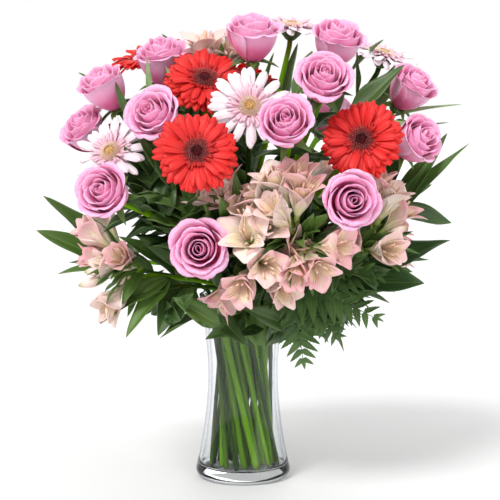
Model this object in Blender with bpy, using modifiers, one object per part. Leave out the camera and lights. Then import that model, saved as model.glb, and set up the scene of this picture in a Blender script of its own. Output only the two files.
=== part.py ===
"""Mixed bouquet in a flared glass vase: gerberas, roses, alstroemeria and greenery.

Metres, +Z up, origin at the centre of the face the vase stands on, front towards -Y.
Every cut stem crosses the waist of the vase as a straight line in one spiral bundle, then
bends out above the rim to carry its bloom. Each bloom slides along its own line from the
binding point until it is clear of its neighbours, and the stems are then eased apart.
"""

import math

import bmesh
import bpy
import numpy as np
from mathutils import Matrix, Vector
from mathutils.kdtree import KDTree

MM = 0.001

# Vase
VASE_HEIGHT = 205 * MM
FOOT_RADIUS = 52.5 * MM
FOOT_HEIGHT = 10 * MM  # of the widest point of the rounded foot
REST_RADIUS = 45 * MM  # of the flat ring and disc that it stands on
WAIST_RADIUS = 38.8 * MM
WAIST_HEIGHT = 120 * MM
RIM_RADIUS = 48.5 * MM
GLASS_WALL = 3.5 * MM
GLASS_FLOOR = 12 * MM
VASE_STEPS = 36

# Stems
ROSE_STEM = 6.4 * MM
GERBERA_STEM = 6.0 * MM
SPRAY_STEM = 5.0 * MM
LEAF_STEM = 4.4 * MM
STEM_GAP = 1.2 * MM  # least clear space between a stem and anything else
JOINT_GAP = 0.3 * MM  # between a stem's top and its bloom, and a stem's foot and the glass
NECK_LENGTH = 8 * MM  # straight end of a stem, square to the head that it carries
BINDING = Vector((0, 0, VASE_HEIGHT - 45 * MM))  # the blooms fan out from here

# Blooms
ROSE_RADIUS = 26 * MM
ROSE_HEIGHT = 47 * MM
GERBERA_RADIUS = 42 * MM
GERBERA_EYE = 10 * MM
GERBERA_THICKNESS = 2.2 * MM
CALYX_DEPTH = 11 * MM
TRUMPET_LENGTH = 38 * MM
TRUMPET_RADIUS = 12 * MM
PEDICEL_LENGTH = 26 * MM
PEDICEL_DIAMETER = 2.6 * MM
LEAF_THICKNESS = 1.2 * MM
BLOOM_GAP = 1.5 * MM

# Where each bloom is: direction from the binding point (azimuth from the front towards +X,
# elevation), reach in mm, then the azimuth and elevation that its face looks to.
ROSES = [
    (7, 75, 327, 0, 69),
    (-65, 72, 308, -16, 68),
    (-70, 60, 302, -51, 50),
    (-80, 53, 279, -50, 41),
    (-34, 57, 282, -24, 27),
    (-42, 39, 258, -22, 18),
    (-15, 34, 193, -6, 6),
    (59, 70, 332, 17, 58),
    (34, 62, 308, 4, 34),
    (14, 52, 289, -7, 30),
    (33, 39, 248, 9, 6),
    (80, 56, 320, 45, 45),
    (68, 48, 285, 40, 23),
    (-135, 61, 275, -135, 45),
    (135, 59, 274, 135, 45),
]
RED_GERBERAS = [
    (-25, 71, 291, 8, 41),
    (-15, 49, 270, 6, 21),
    (44, 51, 277, -15, 18),
    (-103, 70, 322, -60, 66),
    (180, 66, 295, 180, 50),
]
PALE_GERBERAS = [
    (3, 62, 282, 0, 21),
    (-56, 51, 259, -24, 30),
    (82, 81, 338, 22, 74),
    (97, 63, 342, 45, 65),
]
# Each spray: direction and reach of the point where its pedicels part, then the azimuth and
# elevation of every trumpet on it.
SPRAYS = [
    (-50, 80, 272, [(-30, 62), (10, 70), (70, 75)]),
    (-58, 30, 150, [(-80, 15), (-60, -25), (-35, 10)]),
    (2, 42, 150, [(-20, 50), (20, 20), (0, -20)]),
    (26, 38, 190, [(-20, 40), (20, 15), (-60, 60)]),
    (55, 36, 180, [(60, 70), (30, 5), (85, 35)]),
]
# Each leafy branch: name, direction and reach of the point where its leaves part, then each
# leaf's azimuth, elevation, length and width in mm.
BRANCHES = [
    ("ruscus_left", -84, 30, 150, [(-86, 44, 130, 30), (-74, 26, 105, 24)]),
    ("ruscus_low", -48, 30, 125, [(-62, -30, 85, 24), (-42, -45, 72, 22)]),
    ("ruscus_high", 85, 40, 215, [(88, 62, 100, 20), (92, 50, 112, 18)]),
    ("salal_right", 68, 30, 130, [(65, 5, 90, 42), (86, 25, 125, 34)]),
    ("fern_front", 30, 32, 120, [(35, -55, 60, 20), (60, -10, 80, 24)]),
    ("ruscus_back", 180, 28, 140, [(180, 30, 100, 26), (125, 8, 95, 26), (-122, 2, 95, 26)]),
]

CLOUD_STEP = 7 * MM  # between the points that stand for a head while it is settled
STEM_STATIONS = 40  # points along each stem while it is eased apart
STEM_STRETCHES = 8  # straight stretches of a stem above the rim


def look(azimuth, elevation):
    """Unit vector for an azimuth from the front (-Y) towards +X and an elevation, in degrees."""
    a, e = math.radians(azimuth), math.radians(elevation)
    return Vector((math.sin(a) * math.cos(e), -math.cos(a) * math.cos(e), math.sin(e)))


def turn_to(axis):
    """Rotation that takes +Z to axis."""
    return axis.to_track_quat("Z", "Y").to_matrix().to_4x4()


# ---------------------------------------------------------------- vase


def vase_radius(z):
    """Outer radius of the vase above its foot: a parabola below the waist, a soft flare above."""
    if z < WAIST_HEIGHT:
        rise = (WAIST_HEIGHT - z) / (WAIST_HEIGHT - FOOT_HEIGHT)
        return WAIST_RADIUS + (FOOT_RADIUS - WAIST_RADIUS) * rise**2
    rise = (z - WAIST_HEIGHT) / (VASE_HEIGHT - WAIST_HEIGHT)
    return WAIST_RADIUS + (RIM_RADIUS - WAIST_RADIUS) * rise**1.5


def vase_profile():
    """Closed section of the vase at +X: down its outer side, across the base, up the inside."""
    top = VASE_HEIGHT - GLASS_WALL / 2
    heights = [FOOT_HEIGHT + (top - FOOT_HEIGHT) * i / 7 for i in range(7, -1, -1)]
    outer = [(vase_radius(z), z) for z in heights]
    foot = []
    for i in range(1, 4):
        angle = math.radians(30 * i)
        foot.append(
            (
                REST_RADIUS + (FOOT_RADIUS - REST_RADIUS) * math.cos(angle),
                FOOT_HEIGHT * (1 - math.sin(angle)),
            )
        )
    low = GLASS_FLOOR + 2 * MM
    inner_heights = [low + (top - low) * i / 5 for i in range(6)]
    inner = [(vase_radius(z) - GLASS_WALL, z) for z in inner_heights]
    floor = [(0, GLASS_FLOOR), (inner[0][0] - 4 * MM, GLASS_FLOOR)]
    lip = [(RIM_RADIUS - GLASS_WALL / 2, VASE_HEIGHT)]
    return lip + outer + foot + [(0, 0)] + floor + inner + lip


def turned_mesh(name, profile, steps):
    """Mesh made by turning a profile of (radius, height) points about Z with Screw."""
    mesh = bpy.data.meshes.new(name)
    points = [(r, 0, z) for r, z in profile]
    mesh.from_pydata(points, [(i, i + 1) for i in range(len(points) - 1)], [])
    maker = bpy.data.objects.new(name + "_profile", mesh)
    bpy.context.scene.collection.objects.link(maker)
    screw = maker.modifiers.new("turn", "SCREW")
    screw.steps = screw.render_steps = steps
    screw.use_merge_vertices = True
    screw.merge_threshold = 0.00001
    bpy.context.view_layer.update()
    graph = bpy.context.evaluated_depsgraph_get()
    turned = bpy.data.meshes.new_from_object(maker.evaluated_get(graph))
    bpy.data.objects.remove(maker)
    weld(turned)
    return turned


def weld(mesh):
    """Merges doubled points and faces the mesh outwards."""
    work = bmesh.new()
    work.from_mesh(mesh)
    bmesh.ops.remove_doubles(work, verts=work.verts, dist=0.00001)
    bmesh.ops.recalc_face_normals(work, faces=work.faces)
    work.to_mesh(mesh)
    work.free()


# ---------------------------------------------------------------- materials


def material(name, colour, roughness):
    made = bpy.data.materials.new(name)
    made.use_nodes = True
    shader = made.node_tree.nodes["Principled BSDF"]
    shader.inputs["Base Color"].default_value = (*colour, 1)
    shader.inputs["Roughness"].default_value = roughness
    if name == "vase_glass":
        shader.inputs["Transmission Weight"].default_value = 1
        shader.inputs["IOR"].default_value = 1.5
    return made


def finish(mesh, name, paint, smooth_angle=40):
    """Adds the mesh as the named object of the bouquet, in its material."""
    made = bpy.data.objects.new(name, mesh)
    mesh.materials.clear()
    mesh.materials.append(paint)
    mesh.shade_smooth()
    mesh.set_sharp_from_angle(angle=math.radians(smooth_angle))
    bouquet.objects.link(made)
    return made


# ---------------------------------------------------------------- bloom shapes


def lobed(mesh, lobes, depth, from_radius):
    """Pushes the outer points of a turned mesh in between its lobes."""
    for vertex in mesh.vertices:
        radius = math.hypot(vertex.co.x, vertex.co.y)
        if radius > from_radius:
            wave = 0.5 - 0.5 * math.cos(lobes * math.atan2(vertex.co.y, vertex.co.x))
            vertex.co.x *= 1 - depth * wave
            vertex.co.y *= 1 - depth * wave
    return mesh


def rose_mesh():
    """Cupped rose with five outer petals round a raised bud. Its base is at the origin."""
    r, h = ROSE_RADIUS, ROSE_HEIGHT
    profile = [
        (0, h),
        (0.3 * r, 0.96 * h),
        (0.52 * r, 0.86 * h),
        (0.74 * r, 0.94 * h),
        (0.98 * r, 0.8 * h),
        (r, 0.55 * h),
        (0.8 * r, 0.25 * h),
        (0.35 * r, 0.06 * h),
        (ROSE_STEM / 2, 0),
        (0, 0),
    ]
    return lobed(turned_mesh("rose", profile, 10), 5, 0.07, 0.6 * r)


def gerbera_mesh():
    """Shallow star of rays round a flat eye, on a cup of bracts. Its base is at the origin."""
    r, t, c = GERBERA_RADIUS, GERBERA_THICKNESS, CALYX_DEPTH
    profile = [
        (0, c + 2 * t),
        (GERBERA_EYE, c + 1.6 * t),
        (0.62 * r, c + 2.6 * t),
        (r, c + 3.2 * t),
        (0.62 * r, c + 1.4 * t),
        (0.9 * GERBERA_EYE, 0.75 * c),
        (GERBERA_STEM / 2, 0),
        (0, 0),
    ]
    return lobed(turned_mesh("gerbera", profile, 28), 14, 0.14, 0.7 * r)


def trumpet_mesh():
    """Six-lobed alstroemeria trumpet on its pedicel, which starts at the origin."""
    r, h, p = TRUMPET_RADIUS, TRUMPET_LENGTH, PEDICEL_LENGTH
    profile = [
        (0, p + 0.8 * h),
        (r, p + h),
        (0.5 * r, p + 0.55 * h),
        (0.3 * r, p + 0.1 * h),
        (PEDICEL_DIAMETER / 2, p),
        (PEDICEL_DIAMETER / 2, 0),
        (0, 0),
    ]
    return turned_mesh("trumpet", profile, 6)


def leaf_mesh(length, width):
    """Pointed leaf along +X, arching down, folded a little on its midrib."""
    work = bmesh.new()
    bmesh.ops.create_grid(work, x_segments=6, y_segments=2, size=0.5)
    for vertex in work.verts:
        t = vertex.co.x + 0.5
        half = width / 2 * math.sin(math.pi * min(t * 0.985, 0.985)) ** 0.8 + LEAF_STEM / 4
        side = vertex.co.y * 2
        droop = -0.12 * length * t * t
        vertex.co = Vector((t * length, side * half, droop + abs(side) * 0.25 * half))
    mesh = bpy.data.meshes.new("leaf")
    work.to_mesh(mesh)
    work.free()
    maker = bpy.data.objects.new("leaf_maker", mesh)
    bpy.context.scene.collection.objects.link(maker)
    shell = maker.modifiers.new("thickness", "SOLIDIFY")
    shell.thickness = LEAF_THICKNESS
    shell.offset = 0
    bpy.context.view_layer.update()
    graph = bpy.context.evaluated_depsgraph_get()
    solid = bpy.data.meshes.new_from_object(maker.evaluated_get(graph))
    bpy.data.objects.remove(maker)
    weld(solid)
    return solid


def leaf_frame(azimuth, elevation):
    """Rotation that points a leaf's +X along a direction with its upper face up."""
    along = look(azimuth, elevation)
    side = Vector((0, 0, 1)).cross(along)
    if side.length < 0.01:
        side = Vector((0, 1, 0))
    side.normalize()
    up = along.cross(side)
    frame = turn_to(up)
    for row in range(3):
        frame[row][0], frame[row][1], frame[row][2] = along[row], side[row], up[row]
    return frame


# ---------------------------------------------------------------- arrangement


class Item:
    """A bloom, spray or branch: the mesh of its head, and the line that it slides along."""

    def __init__(self, name, mesh, place, axis, stem_diameter):
        azimuth, elevation, reach = place
        self.name = name
        self.mesh = mesh
        self.line = look(azimuth, elevation)
        self.reach = reach * MM
        self.axis = axis
        self.stem_diameter = stem_diameter
        self.cloud = dense_cloud(mesh, CLOUD_STEP)
        self.firm = False

    def place(self):
        """Where the head's origin is now."""
        return BINDING + self.line * self.reach

    def points(self):
        """The head's probe points in place."""
        return self.cloud + np.array(self.place())


def dense_cloud(mesh, step):
    """Points spread over a mesh's faces, about a step apart."""
    found = [np.array([v.co[:] for v in mesh.vertices])]
    mesh.calc_loop_triangles()
    for triangle in mesh.loop_triangles:
        a, b, c = (np.array(mesh.vertices[i].co) for i in triangle.vertices)
        longest = max(np.linalg.norm(b - a), np.linalg.norm(c - b), np.linalg.norm(a - c))
        cuts = max(1, math.ceil(longest / step))
        for i in range(cuts + 1):
            for j in range(cuts + 1 - i):
                found.append(((a * (cuts - i - j) + b * i + c * j) / cuts)[None])
    points = np.concatenate(found)
    return np.unique(np.round(points, 4), axis=0)


def bloom_items():
    """Every rose and gerbera: its mesh turned to its face and centred on its place."""
    items = []
    groups = [
        ("rose", ROSES, rose_mesh, ROSE_HEIGHT / 2, ROSE_STEM),
        ("red_gerbera", RED_GERBERAS, gerbera_mesh, CALYX_DEPTH, GERBERA_STEM),
        ("pale_gerbera", PALE_GERBERAS, gerbera_mesh, CALYX_DEPTH, GERBERA_STEM),
    ]
    for kind, places, shape, middle, stem_diameter in groups:
        for number, (azimuth, elevation, reach, face_azimuth, face_elevation) in enumerate(places, 1):
            axis = look(face_azimuth, face_elevation)
            mesh = shape()
            mesh.transform(turn_to(axis))
            mesh.transform(Matrix.Translation(-axis * middle))
            item = Item(f"{kind}_{number:02d}", mesh, (azimuth, elevation, reach), axis, stem_diameter)
            item.base = -axis * (middle + JOINT_GAP)
            item.firm = True
            items.append(item)
    return items


def joined(meshes, name):
    """One mesh, the Boolean union of several closed ones that overlap."""
    makers = []
    for mesh in meshes:
        maker = bpy.data.objects.new(name + "_maker", mesh)
        bpy.context.scene.collection.objects.link(maker)
        makers.append(maker)
    base = makers[0]
    for other in makers[1:]:
        union = base.modifiers.new("union", "BOOLEAN")
        union.operation = "UNION"
        union.object = other
    bpy.context.view_layer.update()
    graph = bpy.context.evaluated_depsgraph_get()
    made = bpy.data.meshes.new_from_object(base.evaluated_get(graph))
    for maker in makers:
        bpy.data.objects.remove(maker)
    return made


def knuckle(diameter):
    """Small ball where a branch parts, at the origin."""
    work = bmesh.new()
    bmesh.ops.create_icosphere(work, subdivisions=1, radius=diameter / 2)
    mesh = bpy.data.meshes.new("knuckle")
    work.to_mesh(mesh)
    work.free()
    return mesh


def spray_items():
    """Alstroemeria sprays: several trumpets from one point."""
    items = []
    for number, (azimuth, elevation, reach, trumpets) in enumerate(SPRAYS, 1):
        pieces = [knuckle(SPRAY_STEM * 1.5)]
        for trumpet_azimuth, trumpet_elevation in trumpets:
            piece = trumpet_mesh()
            piece.transform(turn_to(look(trumpet_azimuth, trumpet_elevation)))
            pieces.append(piece)
        items.append(joined_item(f"alstroemeria_{number}", pieces, (azimuth, elevation, reach), SPRAY_STEM))
    return items


def branch_items():
    """Leafy branches: several leaves from one point."""
    items = []
    for name, azimuth, elevation, reach, leaves in BRANCHES:
        pieces = [knuckle(LEAF_STEM * 1.8)]
        for leaf_azimuth, leaf_elevation, length, width in leaves:
            piece = leaf_mesh(length * MM, width * MM)
            piece.transform(leaf_frame(leaf_azimuth, leaf_elevation))
            pieces.append(piece)
        items.append(joined_item(name, pieces, (azimuth, elevation, reach), LEAF_STEM))
    return items


def joined_item(name, pieces, place, stem_diameter):
    head = joined(pieces, name)
    item = Item(name, head, place, look(*place[:2]), stem_diameter)
    item.base = Vector((0, 0, 0))
    return item


def point_tree(points):
    """Search tree over an array of points."""
    tree = KDTree(len(points))
    for i, point in enumerate(points):
        tree.insert(point, i)
    tree.balance()
    return tree


def settle(items, rounds=40):
    """Slides touching heads along their lines, half each, until all are clear."""
    need = BLOOM_GAP + 3 * MM
    owner = np.repeat(np.arange(len(items)), [len(item.cloud) for item in items])
    for _ in range(rounds):
        points = np.concatenate([item.points() for item in items])
        tree = point_tree(points)
        nearest = {}
        for i, point in enumerate(points):
            for _, j, distance in tree.find_range(point, need):
                pair = (owner[i], owner[j])
                if pair[0] < pair[1] and distance < nearest.get(pair, need):
                    nearest[pair] = distance
        if not nearest:
            return
        for (i, j), distance in nearest.items():
            slide_apart(items[i], items[j], need - distance + 0.6 * MM)
    print("settle: heads still touch:", [(items[i].name, items[j].name) for i, j in nearest])


def slide_apart(a, b, step):
    """Slides two heads along their own lines, each away from the other. Leaves give way to blooms."""
    away = (a.place() - b.place()).normalized()
    share = 0.5 if a.firm == b.firm else float(b.firm)
    a.reach += math.copysign(step * share, away.dot(a.line))
    b.reach -= math.copysign(step * (1 - share), away.dot(b.line))


# ---------------------------------------------------------------- stems


def bundle():
    """(radius of the bundle at the waist, sideways run of its outermost stem per unit height)."""
    thickest = max(ROSE_STEM, GERBERA_STEM, SPRAY_STEM, LEAF_STEM) / 2
    clear = GLASS_WALL + thickest + STEM_GAP
    radius = WAIST_RADIUS - clear
    steepest = 1
    for i in range(60):
        z = GLASS_FLOOR + (VASE_HEIGHT - GLASS_FLOOR) * i / 59
        if abs(z - WAIST_HEIGHT) > 20 * MM:
            room = (vase_radius(z) - clear) / radius
            steepest = min(steepest, radius * math.sqrt(max(room**2 - 1, 0)) / abs(z - WAIST_HEIGHT))
    return radius, steepest


def slot(index, count, radius):
    """Place in an even sunflower pattern on the disc of the waist."""
    distance = radius * math.sqrt((index + 0.5) / count)
    angle = index * math.pi * (3 - math.sqrt(5))
    return distance * math.cos(angle), distance * math.sin(angle)


def along_slot(place, spin, z):
    """Point at height z on the straight line through a slot, and the line's direction."""
    x, y = place
    lift = z - WAIST_HEIGHT
    point = Vector((x - spin * y * lift, y + spin * x * lift, z))
    return point, Vector((-spin * y, spin * x, 1)).normalized()


def match_slots(items, slots, spin):
    """Gives each item the slot that leans its way, the lowest heads outermost, by swapping pairs while that helps."""
    leads = np.array([along_slot(s, spin, VASE_HEIGHT + 120 * MM)[0][:2] for s in slots])
    leads = leads / np.linalg.norm(leads, axis=1).max()
    heads = np.array([item.line[:2] for item in items])
    cost = np.linalg.norm(heads[:, None] - leads[None], axis=2) ** 2
    order = list(range(len(items)))
    swapped = True
    while swapped:
        swapped = False
        for i in range(len(items)):
            for j in range(i + 1, len(items)):
                now = cost[i, order[i]] + cost[j, order[j]]
                if cost[i, order[j]] + cost[j, order[i]] < now - 1e-9:
                    order[i], order[j] = order[j], order[i]
                    swapped = True
    return [slots[k] for k in order]


def bend(rim, leaving, base, arriving):
    """Smooth curve from the rim to a head's base, as a cubic with both directions given."""
    reach = (base - rim).length * 0.36
    a, b = rim + leaving * reach, base - arriving * reach
    points = []
    for i in range(STEM_STATIONS):
        t = i / (STEM_STATIONS - 1)
        s = 1 - t
        points.append(rim * s**3 + a * 3 * s * s * t + b * 3 * s * t * t + base * t**3)
    return np.array(points)


def ease_apart(curves, items, rounds=200):
    """Pushes the stems off each other and off the heads, keeping each one smooth."""
    clouds = [item.points() for item in items]
    heads = np.concatenate(clouds)
    head_owner = np.repeat(np.arange(len(items)), [len(c) for c in clouds])
    head_tree = point_tree(heads)
    owner = np.repeat(np.arange(len(items)), STEM_STATIONS)
    radii = np.array([item.stem_diameter / 2 for item in items])
    widest = 2 * radii.max() + STEM_GAP + 2 * MM
    curves = curves.copy()
    for _ in range(rounds):
        line = curves.reshape(-1, 3)
        tree = point_tree(line)
        shift = np.zeros_like(line)
        for i, point in enumerate(line):
            if not 1 < i % STEM_STATIONS < STEM_STATIONS - 2:
                continue
            me = owner[i]
            for other, j, distance in tree.find_range(point, widest):
                need = radii[me] + radii[owner[j]] + STEM_GAP + 1.8 * MM
                if owner[j] != me and 0 < distance < need:
                    shift[i] += (point - np.array(other)) / distance * (need - distance) * 0.35
            need = radii[me] + STEM_GAP + 3.5 * MM
            near = [n for n in head_tree.find_range(point, need) if head_owner[n[1]] != me]
            if near:
                other, _, distance = min(near, key=lambda n: n[2])
                shift[i] += (point - np.array(other)) / max(distance, 1e-6) * (need - distance) * 0.6
        curves += shift.reshape(curves.shape)
        curves[:, 2:-2] += 0.25 * (curves[:, 1:-3] + curves[:, 3:-1] - 2 * curves[:, 2:-2])
    return curves


def tube(points, diameter):
    """Round stem through the points, as a mesh with its end caps welded on."""
    curve = bpy.data.curves.new("stem", "CURVE")
    curve.dimensions = "3D"
    curve.bevel_depth = diameter / 2
    curve.bevel_resolution = 1
    curve.use_fill_caps = True
    spline = curve.splines.new("POLY")
    spline.points.add(len(points) - 1)
    for target, point in zip(spline.points, points):
        target.co = (*point, 1)
    maker = bpy.data.objects.new("stem_maker", curve)
    bpy.context.scene.collection.objects.link(maker)
    bpy.context.view_layer.update()
    graph = bpy.context.evaluated_depsgraph_get()
    mesh = bpy.data.meshes.new_from_object(maker.evaluated_get(graph))
    bpy.data.objects.remove(maker)
    weld(mesh)
    return mesh


def stem_paths(items):
    """The points of every stem, foot first."""
    radius, slope = bundle()
    spin = -slope / radius  # the near stems lean from upper left to lower right
    slots = [slot(i, len(items), radius) for i in range(len(items))]
    slots = match_slots(items, slots, spin)
    rims, curves = [], []
    for item, place in zip(items, slots):
        rim, leaving = along_slot(place, spin, VASE_HEIGHT)
        curves.append(bend(rim, leaving, item.place() + item.base, item.axis))
        rims.append((rim, leaving))
    curves = ease_apart(np.array(curves), items)
    paths = []
    for item, place, curve in zip(items, slots, curves):
        lean = slope * item.stem_diameter / 2
        foot, _ = along_slot(place, spin, GLASS_FLOOR + JOINT_GAP + lean)
        step = (STEM_STATIONS - 1) / STEM_STRETCHES
        picked = [curve[round(i * step)] for i in range(STEM_STRETCHES)]
        neck = curve[-1] - np.array(item.axis) * NECK_LENGTH
        paths.append([np.array(foot)] + picked + [neck, curve[-1]])
    return paths


# ---------------------------------------------------------------- build


for old in list(bpy.data.objects):
    bpy.data.objects.remove(old)
bouquet = bpy.data.collections.new("flowers_in_vase")
bpy.context.scene.collection.children.link(bouquet)

glass = material("vase_glass", (0.85, 0.9, 0.92), 0.05)
rose_pink = material("rose_petal", (0.85, 0.2, 0.42), 0.6)
gerbera_red = material("gerbera_red", (0.75, 0.02, 0.02), 0.55)
gerbera_pale = material("gerbera_pale", (0.9, 0.68, 0.75), 0.55)
spray_cream = material("alstroemeria_petal", (0.9, 0.65, 0.55), 0.6)
stem_green = material("stem_green", (0.12, 0.25, 0.04), 0.5)
leaf_green = material("leaf_green", (0.05, 0.14, 0.03), 0.45)
PAINTS = {
    "rose": rose_pink,
    "red": gerbera_red,
    "pale": gerbera_pale,
    "alstroemeria": spray_cream,
}

finish(turned_mesh("vase", vase_profile(), VASE_STEPS), "vase", glass)

blooms = bloom_items()
heads = blooms + spray_items() + branch_items()
settle(heads)
for head, path in zip(heads, stem_paths(heads)):
    stem = tube(path, head.stem_diameter)
    head.mesh.transform(Matrix.Translation(head.place()))
    if head in blooms:
        finish(stem, head.name + "_stem", stem_green)
        finish(head.mesh, head.name + "_bloom", PAINTS[head.name.split("_")[0]])
    else:
        whole = joined([head.mesh, stem], head.name)
        finish(whole, head.name, PAINTS.get(head.name.split("_")[0], leaf_green))
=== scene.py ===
import bpy
import numpy as np
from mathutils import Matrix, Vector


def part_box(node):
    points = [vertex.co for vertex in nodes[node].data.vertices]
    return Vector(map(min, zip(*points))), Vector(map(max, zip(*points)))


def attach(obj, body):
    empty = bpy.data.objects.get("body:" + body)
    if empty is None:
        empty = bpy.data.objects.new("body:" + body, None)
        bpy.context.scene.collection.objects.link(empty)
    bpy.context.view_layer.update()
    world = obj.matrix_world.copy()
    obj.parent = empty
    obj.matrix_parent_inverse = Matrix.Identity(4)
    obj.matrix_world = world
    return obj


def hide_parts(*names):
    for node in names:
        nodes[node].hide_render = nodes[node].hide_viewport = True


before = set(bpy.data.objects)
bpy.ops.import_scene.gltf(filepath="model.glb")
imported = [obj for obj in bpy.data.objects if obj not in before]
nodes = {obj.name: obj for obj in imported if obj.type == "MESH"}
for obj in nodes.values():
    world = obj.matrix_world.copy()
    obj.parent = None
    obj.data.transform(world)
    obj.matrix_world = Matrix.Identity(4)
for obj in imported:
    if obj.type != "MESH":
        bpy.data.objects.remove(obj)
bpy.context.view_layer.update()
print("frame loaded:", len(nodes), "nodes")


# small vector helpers, all on whole arrays
def unit(v):
    return v / np.maximum(np.linalg.norm(v, axis=-1, keepdims=True), 1e-9)


def heading(azimuth, elevation):  # unit vectors: azimuth from the front (-Y) towards +X, in degrees
    a, e = np.radians(azimuth), np.radians(elevation)
    return np.stack([np.sin(a) * np.cos(e), -np.cos(a) * np.cos(e), np.sin(e)], -1)


def smooth(x, low, high):
    t = np.clip((x - low) / (high - low), 0, 1)
    return t * t * (3 - 2 * t)


def basis(axis, roll=0.0):  # columns are two sides and the axis, turned by roll about it
    axis = unit(np.asarray(axis, float))
    hint = np.where(np.abs(axis[..., 2:3]) < 0.9, np.array([0.0, 0, 1]), np.array([0.0, 1, 0]))
    side = unit(np.cross(hint, axis))
    front = np.cross(axis, side)
    c, s = np.cos(roll), np.sin(roll)
    c, s = np.asarray(c)[..., None], np.asarray(s)[..., None]
    return np.stack([side * c + front * s, front * c - side * s, axis], -1)


def placed(grid, turn, base):  # local points, turned by the columns of turn and moved to base
    return grid @ turn.T + base


def uneven(chance, spread, count):  # a factor near 1 for each sheet of a grid
    return chance.normal(1, spread, count)[:, None, None]


goldenAngle = np.pi * (3 - np.sqrt(5))  # seeds and leaves packed evenly
goldenTurn, goldenShare = 137.508, 0.618034  # the same in degrees, and as a share of a turn


# meshes

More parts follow.
